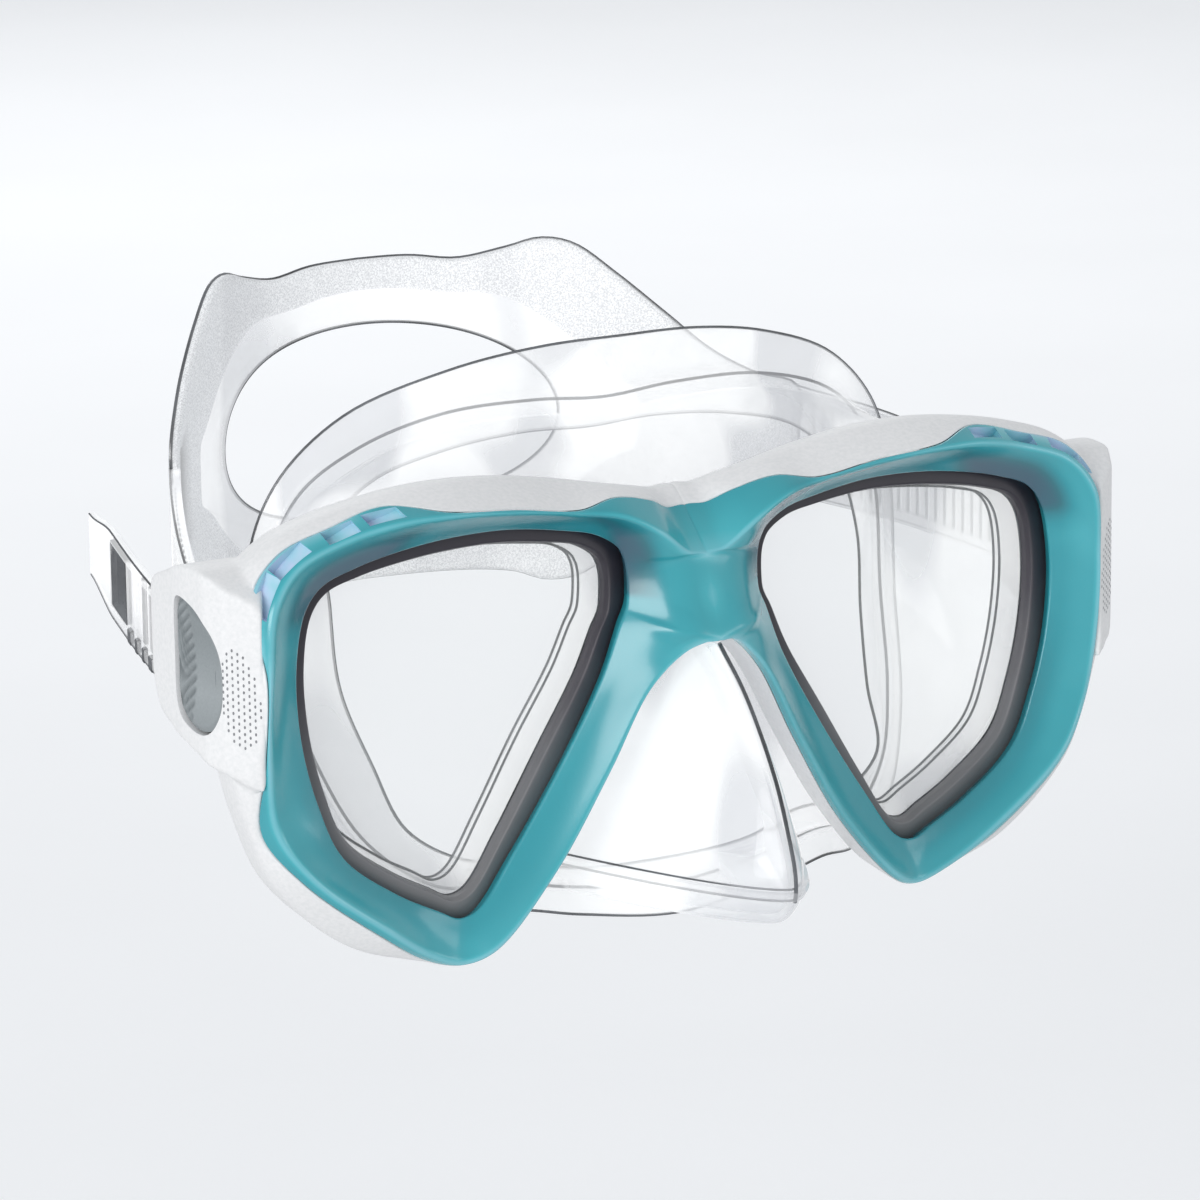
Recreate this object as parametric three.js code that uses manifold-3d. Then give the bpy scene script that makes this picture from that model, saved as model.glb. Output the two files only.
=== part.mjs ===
// A twin-lens diving mask as it is worn, in millimetres with +Z up.
// The lenses face -Y, +X is the wearer's left, and the strap runs back along +Y.
// The origin lies on the middle plane, in the plane of the two lens openings.
// Pieces of the right-hand side are mirror images of those on the left, and end in _r and _l.
import * as THREE from 'three';
import { mergeVertices } from 'three/addons/utils/BufferGeometryUtils.js';
import { ParametricGeometry } from 'three/addons/geometries/ParametricGeometry.js';
import Module from 'manifold-3d';

const wasm = await Module();
wasm.setup();

// ---- Driving dimensions ----
const OUTSIDE = 120; // well clear of the mask on any side
const GAP = 0.35; // clearance between neighbouring pieces
const FINENESS = 0.05; // detail smaller than this is dropped from the two largest pieces
const MIDDLE = -0.6; // half of a mirrored ring runs this far past the middle plane

// Both lens openings lie in planes that wrap back slightly towards the temples.
const LENS_CENTRE = new THREE.Vector3(44, 0, 8);
const WRAP_SLOPE = 0.035;
const GLASS = { front: 5.1, back: 8.6, grow: 1.2 };
const SEAL = { front: 3.0, back: 4.7, outer: 1.6, inner: -2.8 };
const COLLAR = { front: 5.2, back: 12, outer: 2.9, inner: 1.6 };
const WEB = { front: 10, back: 11.4, inner: -4.2 };
const RIM_DEPTH = 2.6; // front frame, at the edge of the opening
const RIM_GROW = 1.0;
const CHASSIS_GROW = 3.3; // how far outside the opening the rear frame starts
const CHASSIS_FRONT = 3.2;
const CHASSIS_BACK = 9.2;
const SHELL_DRAFT = 0.8; // how far the rear frame's outside draws in towards its back
const LENS_SPACE = { inner: -6, front: -2, back: 20 };

// The frame's sections, once round the left lens from the bridge over the brow and the temple.
// lens: edge of the opening (x, z); crest: front ridge; edge: where the front frame meets the
// rear frame; shell: outermost line of the rear frame (x, y, z).
const FRAME_SECTIONS = [
  { lens: [12.7, 22.5], crest: [MIDDLE, -7.5, 21.5], edge: [MIDDLE, 0.5, 24], shell: [MIDDLE, 5, 25] },
  { lens: [12.9, 26.5], crest: [MIDDLE, -5.7, 28], edge: [MIDDLE, 1.5, 35], shell: [MIDDLE, 5, 37.9] },
  { lens: [13.5, 28.6], crest: [3.2, -6.1, 28.9], edge: [3.6, 0.9, 35.5], shell: [3.6, 4.9, 38.1] },
  { lens: [14.6, 30.3], crest: [9, -7.2, 33], edge: [8, -1.2, 37.6], shell: [8, 4.6, 39] },
  { lens: [18.5, 32.7], crest: [16, -6.8, 36.6], edge: [15.5, -2.4, 39.2], shell: [15, 5.3, 40.3] },
  { lens: [24, 34], crest: [23, -4.8, 37.6], edge: [23, -3.9, 38.2], shell: [23, 5.4, 42] },
  { lens: [35, 35.5], crest: [35, -4.8, 39.2], edge: [35, -4, 39.8], shell: [34.5, 4.8, 43.8] },
  { lens: [46, 35.3], crest: [47, -5.2, 40.2], edge: [47, -4, 40.9], shell: [45, 5, 44.2] },
  { lens: [55, 34.1], crest: [56, -4.6, 40.1], edge: [57, 0.9, 42.3], shell: [55, 5.5, 43.4] },
  { lens: [62, 32.5], crest: [66, -3.2, 38], edge: [66.5, 1, 40], shell: [66, 4, 41.5] },
  { lens: [68.3, 30.1], crest: [75, -3.6, 34.5], edge: [76.5, 1, 36.5], shell: [76, 4, 38] },
  { lens: [71.3, 26.3], crest: [79.4, -4.5, 28.5], edge: [81.8, 0, 30], shell: [82.5, 4, 32] },
  { lens: [73.1, 17], crest: [80.3, -4.2, 17], edge: [80.8, -3.4, 17], shell: [85.5, 2, 17] },
  { lens: [72.5, 5], crest: [80.4, -3, 3], edge: [80.9, -2.2, 3], shell: [85, 2, 3] },
  { lens: [69.8, -6], crest: [79, -2, -8.5], edge: [80.5, 1, -9.5], shell: [81.5, 2, -10.5] },
  { lens: [65.5, -15.5], crest: [73.3, -3.6, -17], edge: [74.5, -2, -18], shell: [77, 2, -20] },
  { lens: [56, -23], crest: [59.5, -3.8, -28], edge: [60.5, -2.5, -29.2], shell: [64, 2, -31.5] },
  { lens: [48.5, -27], crest: [50.5, -2.2, -34.3], edge: [51, 0, -35.3], shell: [51, 2, -35.8] },
  { lens: [44.6, -28.8], crest: [44.6, -1.8, -36.4], edge: [44.6, 0, -37], shell: [44.6, 2, -37] },
  { lens: [41.2, -27.8], crest: [39.5, -3.6, -34.2], edge: [39, -2, -34.8], shell: [39, 1.5, -34.5] },
  { lens: [34.5, -19], crest: [28.4, -4.6, -22.4], edge: [28, -2, -22.6], shell: [28.5, 1.5, -22] },
  { lens: [25, -4.5], crest: [18.6, -5.8, -6.5], edge: [18.2, -3, -6.5], shell: [19, 1, -6] },
  { lens: [17.6, 8.5], crest: [11.3, -6.9, 6.8], edge: [11, -4, 6.8], shell: [12, 1, 6] },
  { lens: [14.2, 17], crest: [5.5, -8.3, 12.6], edge: [5.5, -5, 12.6], shell: [6, 1, 12] },
  { lens: [13.4, 18.6], crest: [2.6, -9.5, 14.1], edge: [2.6, -6.4, 14.1], shell: [2.8, 1, 13.7] },
  { lens: [12.9, 20], crest: [MIDDLE, -10, 14.6], edge: [MIDDLE, -7, 14.6], shell: [MIDDLE, 1, 14.4] },
];
const FRAME_STEPS = 66;
const LENS_STEPS = 48;
const NOTCHES = {
  first: 8.2, spacing: 0.85, count: 4, size: [7, 3.2, 2.2], sink: 1.1, place: 0.55, lean: 0.22,
};

// The face skirt's sections, from the forehead over the temple and cheek to the upper lip.
// root: at the rear frame; shoulder and mid: along the wall; lip: outer feathered edge;
// inner: inner feathered edge (x, y, z).
const SKIRT_WALL = 1.6;
const LIP_WALL = 0.7; // the feathered lips are thinner
const SKIRT_SECTIONS = [
  {
    root: [0, 10.2, 34.5], shoulder: [0, 20, 42], mid: [0, 27.5, 49],
    lip: [0, 22, 60.3], inner: [0, 33, 43],
  },
  {
    root: [15, 10.2, 36.5], shoulder: [14, 19.3, 43], mid: [14, 27.5, 50],
    lip: [15, 22.5, 60], inner: [13, 33, 43.5],
  },
  {
    root: [32, 10.2, 39.3], shoulder: [31, 18, 43.5], mid: [31, 28, 49.5],
    lip: [31, 25.5, 57.2], inner: [28, 33.5, 42],
  },
  {
    root: [48, 10.2, 39], shoulder: [46, 20, 41], mid: [46, 30, 45],
    lip: [48, 30.8, 50.5], inner: [42, 34, 38],
  },
  {
    root: [62, 10.2, 35.5], shoulder: [60, 24, 36], mid: [55.5, 34, 37],
    lip: [59, 34.5, 39.5], inner: [50.5, 34, 30],
  },
  {
    root: [72.5, 10.2, 25], shoulder: [69, 24, 25], mid: [60, 36, 24],
    lip: [63.5, 36.5, 25.5], inner: [52, 30, 19],
  },
  {
    root: [74.3, 10.2, 8], shoulder: [70, 22, 8], mid: [59, 33, 7],
    lip: [62.5, 33.5, 6], inner: [51.5, 28, 5],
  },
  {
    root: [70.5, 10.2, -8], shoulder: [66.5, 18, -9], mid: [56, 26, -9],
    lip: [59, 26, -13], inner: [49, 22, -7],
  },
  {
    root: [60, 10.2, -21], shoulder: [58, 14, -22], mid: [51, 20, -20],
    lip: [52, 19, -26.5], inner: [46.5, 15, -17],
  },
  {
    root: [46, 10.2, -28.6], shoulder: [45, 12, -29.5], mid: [41, 14, -27.5],
    lip: [41, 12.5, -32.5], inner: [37, 12.5, -23],
  },
  {
    root: [33, 8.5, -27.5], shoulder: [32.5, 9.5, -28.5], mid: [30, 10, -27.5],
    lip: [30, 6.5, -31.5], inner: [27.5, 12, -24],
  },
  {
    root: [20, 6.5, -29], shoulder: [20, 7, -30], mid: [19, 8, -29.5],
    lip: [19, 4.5, -33.5], inner: [18, 11, -27],
  },
  {
    root: [0, 4.5, -30.5], shoulder: [0, 5.5, -31.5], mid: [0, 7, -31.5],
    lip: [0, 4, -36], inner: [0, 10.5, -28],
  },
];
const SKIRT_STEPS = 52;

// The nose pocket, from the arch of the frame down: ridge depth (y), half width at the rear.
const NOSE_SECTIONS = [
  { z: 12.5, ridge: -9.5, half: 3.5 },
  { z: 6, ridge: -17, half: 8.8 },
  { z: -5.4, ridge: -25.5, half: 14.2 },
  { z: -14, ridge: -30, half: 17.8 },
  { z: -22, ridge: -32, half: 20.6 },
  { z: -27.5, ridge: -29, half: 21 },
  { z: -31, ridge: -20, half: 16 },
];
const NOSE_REAR = 9.0;
const NOSE_ROUNDNESS = 1.5; // 1 would be a sharp ridge, 2 a round one
const NOSE_OPEN = { outer: 2, inner: 12 }; // how far its outside and its hollow run on behind it
const NOSE_STEPS = 10;
const NOSE_CORNERS = 12;

// Buckle housings: side outline (y, z) and plan outline (x, y) of the shell round the buckle.
const HOUSING_SIDE = [
  [-3, 28], [1, 32], [6, 34.4], [12.5, 34.2], [18.5, 32.2], [23.4, 29.9], [24.2, 25], [23.6, 13],
  [21.5, 8.6], [17, 6.4], [9, 4], [1, 0.5], [-3, -2],
];
const HOUSING_PLAN = [[76.3, 6], [81.2, -3], [86.2, 1], [88, 4.8], [88.4, 12], [87.8, 24.2], [76.3, 24.2]];
const CAVITY = { min: [78.3, 2.9, 10.6], max: [86.7, 26, 28.5] };
const COVER = { min: [76.5, 4, 12], max: [78.0, 21, 27] };
const BAND = { low: 11.2, high: 27.7, thick: 1.6 };
const WRAP_END = 23.6;
const ROLLER = { x: 82.5, y: 16.5, radius: 2.0 };
const PIN = { radius: 0.8, low: 9.5, high: 29.4 };
const BUTTON_PIVOT = { x: 85, y: 6 };
const BUTTON_OUTLINE = [
  [13.4, 28.4], [13.9, 19.5], [13.2, 10.6], [9, 8.1], [4.5, 8.2], [2.3, 11.6], [1.9, 16.5],
  [2.6, 21.6], [5, 25.6], [9.1, 28],
];
const BUTTON_CENTRE = [6.8, 18];
// The button's curved pad seen from above (x, y): its outer face, then its inner face.
const BUTTON_PLAN = [
  [84.3, -0.7], [86, 0.9], [87.8, 4.7], [88.3, 9], [88.3, 14.4],
  [86.95, 14.4], [86.95, 4.9], [86.7, 3.6], [84.6, 0.9], [82.9, -0.7],
];
const BUTTON_RECESS = { clearance: 0.6, floor: 86, frontFloor: 82.3, frontEnd: 3.8 };
const PAWL_OUTLINE = [
  [86.5, 3.6], [86.5, 8.6], [84.2, 9.2], [82.6, 11.7], [81.7, 10.6], [83.2, 7], [83.2, 4.6], [84, 3.6],
];
const PAWL = { low: 12, high: 25.5 };
const SPRING = { low: 26, high: 27.9, radius: 1.5, wire: 0.25, turns: 3 };

// Strap: the line it follows seen from above, from the back of the head to the buckle (x, y).
const STRAP_PLAN = [
  [0, 115], [18, 112], [32, 104.5], [45, 92.5], [54, 81], [64, 62], [73, 42], [79.4, 24.3],
];
const STRAP_THICK = 2.0;
// Outline of the split rear panel, from its end to its middle, as distance along the strap from
// the middle of the back of the head, and height.
const PANEL_END = 84;
const PANEL_END_MIDDLE = 27;
const PANEL_TOP = [
  [PANEL_END, 37], [75, 38.6], [66, 42], [57, 48.3], [48, 55], [40, 60.3], [34, 61.2], [28, 59.6],
  [19, 57.8], [10, 58.8], [0, 59],
];
const PANEL_BOTTOM = [
  [PANEL_END, 17], [75, 17.5], [66, 16], [57, 10.7], [48, 4], [40, -1.3], [34, -2.2], [28, -0.6], [0, 0],
];
const PANEL_MIDDLE = 29.5;
const PANEL_HOLE = { halfLength: 37, halfHeight: 17.8 };
// The side run from the panel to the buckle, where the band is narrower.
const RUN_TOP = [[84.4, 37], [104, 34], [129, BAND.high]];
const RUN_BOTTOM = [[84.4, 17], [104, 15], [129, BAND.low]];
// Strap tail: its middle line from the roller to the tip, and its half width there.
const TAIL_START = [[85.6, 16.9, 19.45], [85.6, 20.5, 19.45], [85.6, 24, 19.8]];
// The wearer's-left tail lies level, the right-hand one stands up; lean is the turn of its slot.
const LEVEL_TAIL = { path: [...TAIL_START, [87.3, 29.5, 20.2], [91.3, 37.3, 20.8]], lean: 0 };
const RAISED_TAIL = { path: [...TAIL_START, [87.3, 29.5, 23.8], [91.3, 37.3, 33.4]], lean: Math.PI / 5 };
const TAIL_WIDTH = 14.5;
const TAIL_THICK = 1.6;
const TAIL_TIP = { from: 0.9, narrower: 0.8 };
const TAIL_SLOT = { along: 0.78, length: 3, height: 10.5 };

const COLOURS = {
  teal: { color: 0x3eafbc, roughness: 0.25, metalness: 0 },
  white: { color: 0xececec, roughness: 0.6, metalness: 0 },
  grey: { color: 0x8c9496, roughness: 0.55, metalness: 0 },
  dark: { color: 0x4a484c, roughness: 0.5, metalness: 0 },
  clear: { color: 0xf2f6f8, roughness: 0.15, metalness: 0 },
  glass: { color: 0xe6f0f2, roughness: 0.02, metalness: 0 },
  steel: { color: 0xb8bcc0, roughness: 0.3, metalness: 1 },
};

// ---- Solids and meshes ----

// Closes a surface whose seams coincide: joins its vertices, drops triangles that have shrunk to
// a line, and turns the faces outwards.
function closeUp(geometry) {
  geometry.deleteAttribute('uv');
  geometry.deleteAttribute('normal');
  const merged = mergeVertices(geometry, 1e-4);
  const corner = merged.index.array;
  const kept = [];
  for (let i = 0; i < corner.length; i += 3) {
    const [a, b, c] = [corner[i], corner[i + 1], corner[i + 2]];
    if (a !== b && b !== c && c !== a) kept.push(a, b, c);
  }
  merged.setIndex(kept);
  if (signedVolume(merged) < 0) merged.setIndex(kept.reverse());
  return merged;
}

function signedVolume(geometry) {
  const position = geometry.attributes.position;
  const corner = geometry.index.array;
  const [a, b, c] = [new THREE.Vector3(), new THREE.Vector3(), new THREE.Vector3()];
  let volume = 0;
  for (let i = 0; i < corner.length; i += 3) {
    a.fromBufferAttribute(position, corner[i]);
    b.fromBufferAttribute(position, corner[i + 1]);
    c.fromBufferAttribute(position, corner[i + 2]);
    volume += a.dot(b.cross(c)) / 6;
  }
  return volume;
}

function solid(geometry) {
  const closed = closeUp(geometry);
  const vertProperties = new Float32Array(closed.attributes.position.array);
  const triVerts = new Uint32Array(closed.index.array);
  return new wasm.Manifold(new wasm.Mesh({ numProp: 3, vertProperties, triVerts }));
}

function geometryOf(body) {
  const result = body.getMesh();
  const geometry = new THREE.BufferGeometry();
  geometry.setAttribute('position', new THREE.BufferAttribute(new Float32Array(result.vertProperties), 3));
  geometry.setIndex(new THREE.BufferAttribute(new Uint32Array(result.triVerts), 1));
  return geometry;
}

// Cuts between curved skins can leave crumbs, so only the largest body is kept.
function mainBody(body) {
  return body.decompose().reduce((best, part) => (part.volume() > best.volume() ? part : best));
}

function mirrored(geometry) {
  return closeUp(geometry.clone().scale(-1, 1, 1));
}

function bothSides(left) {
  return left.add(solid(mirrored(geometryOf(left))));
}

function piece(name, geometry, look) {
  const shown = geometry.clone();
  shown.computeVertexNormals();
  const mesh = new THREE.Mesh(shown, new THREE.MeshStandardMaterial(COLOURS[look]));
  mesh.name = name;
  return mesh;
}

// A ring: the section's corners carried once round, back to where they started.
function ring(sectionAt, corners, steps) {
  const surface = (u, v, target) => {
    target.copy(sectionAt(v % 1)[Math.round(u * corners) % corners]);
  };
  return closeUp(new ParametricGeometry(surface, corners, steps));
}

// A bar: sections one after the other, each end closed towards the middle of its section.
function bar(sectionAt, corners, steps) {
  const rows = steps + 2;
  const surface = (u, v, target) => {
    const row = Math.round(v * rows);
    const section = sectionAt(THREE.MathUtils.clamp(row - 1, 0, steps) / steps);
    if (row > 0 && row < rows) {
      target.copy(section[Math.round(u * corners) % corners]);
      return;
    }
    target.set(0, 0, 0);
    section.forEach((point) => target.addScaledVector(point, 1 / section.length));
  };
  return closeUp(new ParametricGeometry(surface, corners, rows));
}

function box({ min, max }) {
  const size = max.map((high, axis) => high - min[axis]);
  const middle = max.map((high, axis) => (high + min[axis]) / 2);
  return new THREE.BoxGeometry(...size).translate(...middle);
}

// A flat outline carried along +Z from low to high, or along +X for an outline in (y, z).
function prismZ(outline, low, high) {
  const shape = new THREE.Shape(outline.map(([x, y]) => new THREE.Vector2(x, y)));
  return new THREE.ExtrudeGeometry(shape, { depth: high - low, bevelEnabled: false }).translate(0, 0, low);
}

function prismX(outline, low, high) {
  const upright = prismZ(outline, low, high);
  return upright.applyMatrix4(new THREE.Matrix4().set(0, 0, 1, 0, 1, 0, 0, 0, 0, 1, 0, 0, 0, 0, 0, 1));
}

function pinZ(x, y, radius, low, high, sides = 16) {
  const pin = new THREE.CylinderGeometry(radius, radius, high - low, sides);
  return pin.rotateX(Math.PI / 2).translate(x, y, (low + high) / 2);
}

// ---- The frame's guiding lines ----
const lensY = (x) => WRAP_SLOPE * (x - LENS_CENTRE.x);

function frameLine(key) {
  const points = FRAME_SECTIONS.map((section) => {
    const [x, y, z] = section[key];
    return key === 'lens' ? new THREE.Vector3(x, 0, y) : new THREE.Vector3(x, y, z);
  });
  return new THREE.CatmullRomCurve3(points, true, 'centripetal');
}
const LENS_LINE = frameLine('lens');
const CREST_LINE = frameLine('crest');
const EDGE_LINE = frameLine('edge');
const SHELL_LINE = frameLine('shell');

// A point beside the lens opening: grow millimetres outside its edge, depth behind its plane.
function besideLens(t, grow, depth) {
  const point = LENS_LINE.getPoint(t);
  const outward = point.clone().sub(LENS_CENTRE).setY(0).normalize();
  point.addScaledVector(outward, grow);
  return point.setY(lensY(point.x) + depth);
}

const towards = (from, to) => to.clone().sub(from).normalize();

// ---- Frame pieces ----

// The front frame's section: a funnel from the opening up to the crest, and a band behind it.
function frontSection(t, grow) {
  const rim = besideLens(t, 0, 0);
  const back = besideLens(t, RIM_GROW, RIM_DEPTH + grow);
  const crest = CREST_LINE.getPoint(t);
  const edge = EDGE_LINE.getPoint(t);
  const crestOut = towards(rim, crest).add(towards(edge, crest)).normalize();
  const edgeOut = towards(back, edge).add(towards(crest, edge)).normalize();
  return [rim, crest.addScaledVector(crestOut, grow), edge.addScaledVector(edgeOut, 1.5 * grow), back];
}

function frontHalf(grow) {
  return solid(ring((t) => frontSection(t, grow), 4, FRAME_STEPS));
}

// Stepped notches cut in the band at the brow's outer corner.
function notchCutters() {
  const cutters = [];
  for (let i = 0; i < NOTCHES.count; i += 1) {
    const t = (NOTCHES.first + i * NOTCHES.spacing) / FRAME_SECTIONS.length;
    const crest = CREST_LINE.getPoint(t);
    const edge = EDGE_LINE.getPoint(t);
    const along = CREST_LINE.getTangent(t);
    const across = towards(crest, edge);
    const out = new THREE.Vector3().crossVectors(across, along).normalize();
    const turn = new THREE.Matrix4().makeBasis(along, across, out);
    const lift = (NOTCHES.size[2] - NOTCHES.sink) / 2;
    const place = crest.clone().lerp(edge, NOTCHES.place).addScaledVector(out, lift);
    const cutter = new THREE.BoxGeometry(...NOTCHES.size).rotateY(-NOTCHES.lean);
    cutters.push(solid(cutter.applyMatrix4(turn).translate(place.x, place.y, place.z)));
  }
  return cutters;
}

function frontFrame() {
  let left = frontHalf(0);
  notchCutters().forEach((cutter) => { left = left.subtract(cutter); });
  return geometryOf(bothSides(left));
}

// The rear frame's section lies behind the front frame and reaches out to the shell line.
function rearSection(t) {
  const edge = EDGE_LINE.getPoint(t);
  const shell = SHELL_LINE.getPoint(t);
  const innerBack = besideLens(t, CHASSIS_GROW, CHASSIS_BACK);
  const inward = towards(shell, innerBack).setY(0);
  const shellBack = shell.clone().setY(innerBack.y).addScaledVector(inward, SHELL_DRAFT);
  return [besideLens(t, CHASSIS_GROW, CHASSIS_FRONT), edge, shell, shellBack, innerBack];
}

function housing() {
  const side = solid(prismX(HOUSING_SIDE, 0, OUTSIDE));
  const plan = solid(prismZ(HOUSING_PLAN, -OUTSIDE, OUTSIDE));
  return side.intersect(plan);
}

function buttonOutline(grow) {
  const points = BUTTON_OUTLINE.map(([y, z]) => new THREE.Vector3(y, z, 0));
  const line = new THREE.CatmullRomCurve3(points, true, 'centripetal');
  const centre = new THREE.Vector3(...BUTTON_CENTRE, 0);
  return line.getSpacedPoints(28).slice(0, -1).map((point) => {
    const moved = point.clone().addScaledVector(towards(centre, point), grow);
    return [moved.x, moved.y];
  });
}

function rearHalf() {
  const cover = { min: COVER.min.map((low) => low - GAP), max: COVER.max.map((high) => high + GAP) };
  let body = solid(ring(rearSection, 5, FRAME_STEPS)).add(housing().subtract(lensSpace()));
  body = body.subtract(solid(box(CAVITY))).subtract(solid(box(cover)));
  const recess = buttonOutline(BUTTON_RECESS.clearance);
  const front = { min: [0, -OUTSIDE, -OUTSIDE], max: [OUTSIDE, BUTTON_RECESS.frontEnd, OUTSIDE] };
  body = body.subtract(solid(prismX(recess, BUTTON_RECESS.floor, OUTSIDE)));
  const deeper = solid(prismX(recess, BUTTON_RECESS.frontFloor, OUTSIDE));
  body = body.subtract(deeper.intersect(solid(box(front))));
  const bore = PIN.radius + GAP;
  body = body.subtract(solid(pinZ(ROLLER.x, ROLLER.y, bore, PIN.low - GAP, PIN.high + GAP)));
  return body.subtract(solid(pinZ(BUTTON_PIVOT.x, BUTTON_PIVOT.y, bore, PIN.low - GAP, PIN.high + GAP)));
}

// The room that the lens, its seal and the skirt's collar take up inside the rear frame.
function lensSpace() {
  const { inner, front, back } = LENS_SPACE;
  const section = (t) => [
    besideLens(t, inner, front), besideLens(t, CHASSIS_GROW, front),
    besideLens(t, CHASSIS_GROW, back), besideLens(t, inner, back),
  ];
  return solid(ring(section, 4, FRAME_STEPS));
}

function rearFrame() {
  return geometryOf(mainBody(bothSides(rearHalf()).subtract(bothSides(frontHalf(GAP)))).simplify(FINENESS));
}

function lensSeal() {
  const { front, back, outer, inner } = SEAL;
  const section = (t) => [
    besideLens(t, outer, front), besideLens(t, outer, back),
    besideLens(t, inner, back), besideLens(t, inner, front),
  ];
  return ring(section, 4, LENS_STEPS);
}

function lensGlass() {
  const corners = LENS_STEPS;
  const sectionAt = (v) => Array.from({ length: corners }, (_, i) => {
    const depth = THREE.MathUtils.lerp(GLASS.front, GLASS.back, v);
    return besideLens(i / corners, GLASS.grow, depth);
  });
  return bar(sectionAt, corners, 1);
}

// ---- Face skirt ----
function skirtLine(key) {
  const half = SKIRT_SECTIONS.map((section) => new THREE.Vector3(...section[key]));
  const mirror = new THREE.Vector3(-1, 1, 1);
  const other = half.slice(1, -1).reverse().map((point) => point.clone().multiply(mirror));
  return new THREE.CatmullRomCurve3([...half, ...other], true, 'centripetal');
}
const SKIRT_LINES = {
  root: skirtLine('root'),
  shoulder: skirtLine('shoulder'),
  mid: skirtLine('mid'),
  lip: skirtLine('lip'),
  inner: skirtLine('inner'),
};
const SKIRT_CENTRE = new THREE.Vector3(0, 20, 8);

function inwards(point, distance) {
  const direction = SKIRT_CENTRE.clone().sub(point).setY(0).normalize();
  return point.clone().addScaledVector(direction, distance);
}

// The wall with its outer and inner feathered lips, as one thin closed section.
function skirtSection(t) {
  const at = (key) => SKIRT_LINES[key].getPoint(t);
  const [root, shoulder, mid, lip, inner] = ['root', 'shoulder', 'mid', 'lip', 'inner'].map(at);
  const behind = mid.clone().setY(mid.y + SKIRT_WALL);
  const lipBack = lip.clone().add(new THREE.Vector3(0, LIP_WALL, 0));
  const innerFront = inner.clone().add(new THREE.Vector3(0, -LIP_WALL, 0));
  const corner = inwards(mid, SKIRT_WALL).setY(mid.y - LIP_WALL);
  return [root, shoulder, mid, lip, lipBack, behind, inner, innerFront, corner,
    inwards(shoulder, SKIRT_WALL), inwards(root, SKIRT_WALL)];
}

function noseAt(v, wall) {
  const at = (key) => NOSE_SECTIONS.map((section) => section[key]);
  const pick = (values) => {
    const points = values.map((value, i) => new THREE.Vector3(i, value, 0));
    return new THREE.CatmullRomCurve3(points, false, 'centripetal').getPoint(v).y;
  };
  return { z: pick(at('z')), ridge: pick(at('ridge')) + wall, half: pick(at('half')) - wall };
}

// One level of the nose pocket: a rounded wedge from one rear corner round the ridge to the other.
function noseSection(v, wall, rear, lift) {
  const { z, ridge, half } = noseAt(v, wall);
  const points = [];
  for (let i = 0; i < NOSE_CORNERS; i += 1) {
    const across = (2 * i) / (NOSE_CORNERS - 1) - 1;
    const bulge = 1 - Math.abs(across) ** NOSE_ROUNDNESS;
    points.push(new THREE.Vector3(half * across, rear + (ridge - rear) * bulge, z + lift));
  }
  return points;
}

function skirt() {
  const wall = solid(ring(skirtSection, 11, SKIRT_STEPS));
  const corners = SKIRT_STEPS + 4;
  const outline = Array.from({ length: corners }, (_, i) => {
    const point = inwards(SKIRT_LINES.root.getPoint(i / corners), SKIRT_WALL / 4);
    return new THREE.Vector2(point.x, point.z);
  });
  const shape = new THREE.Shape(outline);
  const plate = new THREE.ExtrudeGeometry(shape, { depth: WEB.back - WEB.front, bevelEnabled: false });
  const web = solid(plate.rotateX(Math.PI / 2).translate(0, WEB.back, 0));
  const wedge = (wall, open, lift) => solid(
    bar((v) => noseSection(v, wall, NOSE_REAR + open, lift), NOSE_CORNERS, NOSE_STEPS));
  const nose = wedge(0, NOSE_OPEN.outer, 0);
  const inside = wedge(SKIRT_WALL, NOSE_OPEN.inner, SKIRT_WALL);
  let body = wall.add(web).add(nose).subtract(inside);
  [1, -1].forEach((side) => {
    body = body.subtract(lensHole(side)).add(collar(side));
  });
  return geometryOf(mainBody(body.subtract(rearClearance())).simplify(FINENESS));
}

function onSide(geometry, side) {
  return side > 0 ? geometry : mirrored(geometry);
}

function lensHole(side) {
  const corners = LENS_STEPS;
  const sectionAt = (v) => Array.from({ length: corners }, (_, i) => (
    besideLens(i / corners, WEB.inner, THREE.MathUtils.lerp(GLASS.front, LENS_SPACE.back, v))));
  return solid(onSide(bar(sectionAt, corners, 1), side));
}

// The collar that grips the edge of the glass, in front of the web.
function collar(side) {
  const section = (t) => [
    besideLens(t, COLLAR.outer, COLLAR.front), besideLens(t, COLLAR.outer, COLLAR.back),
    besideLens(t, COLLAR.inner, COLLAR.back), besideLens(t, COLLAR.inner, COLLAR.front),
  ];
  return solid(onSide(ring(section, 4, LENS_STEPS), side));
}

// Keeps the skirt clear of the rear frame.
function rearClearance() {
  const section = (t) => {
    const [innerFront, edge, shell, shellBack, innerBack] = rearSection(t);
    return [innerFront, edge, shell, shellBack.setY(shellBack.y + GAP), innerBack.setY(innerBack.y + GAP)];
  };
  return bothSides(solid(ring(section, 5, FRAME_STEPS)));
}

// ---- Strap ----
function strapCurve() {
  const half = STRAP_PLAN.map(([x, y]) => new THREE.Vector3(x, y, 0));
  const other = half.slice(1).reverse().map((point) => new THREE.Vector3(-point.x, point.y, 0));
  const curve = new THREE.CatmullRomCurve3([...other, ...half], false, 'centripetal');
  curve.arcLengthDivisions = 400;
  return curve;
}
const STRAP_CURVE = strapCurve();
const STRAP_HALF = STRAP_CURVE.getLength() / 2;

// The point at a distance along the strap from its middle, at a height and a depth in its thickness.
function onStrap(along, height, depth) {
  const share = THREE.MathUtils.clamp(0.5 + along / (2 * STRAP_HALF), 0, 1);
  const point = STRAP_CURVE.getPointAt(share);
  const tangent = STRAP_CURVE.getTangentAt(share);
  return new THREE.Vector3(point.x + depth * tangent.y, point.y - depth * tangent.x, height);
}

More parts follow.
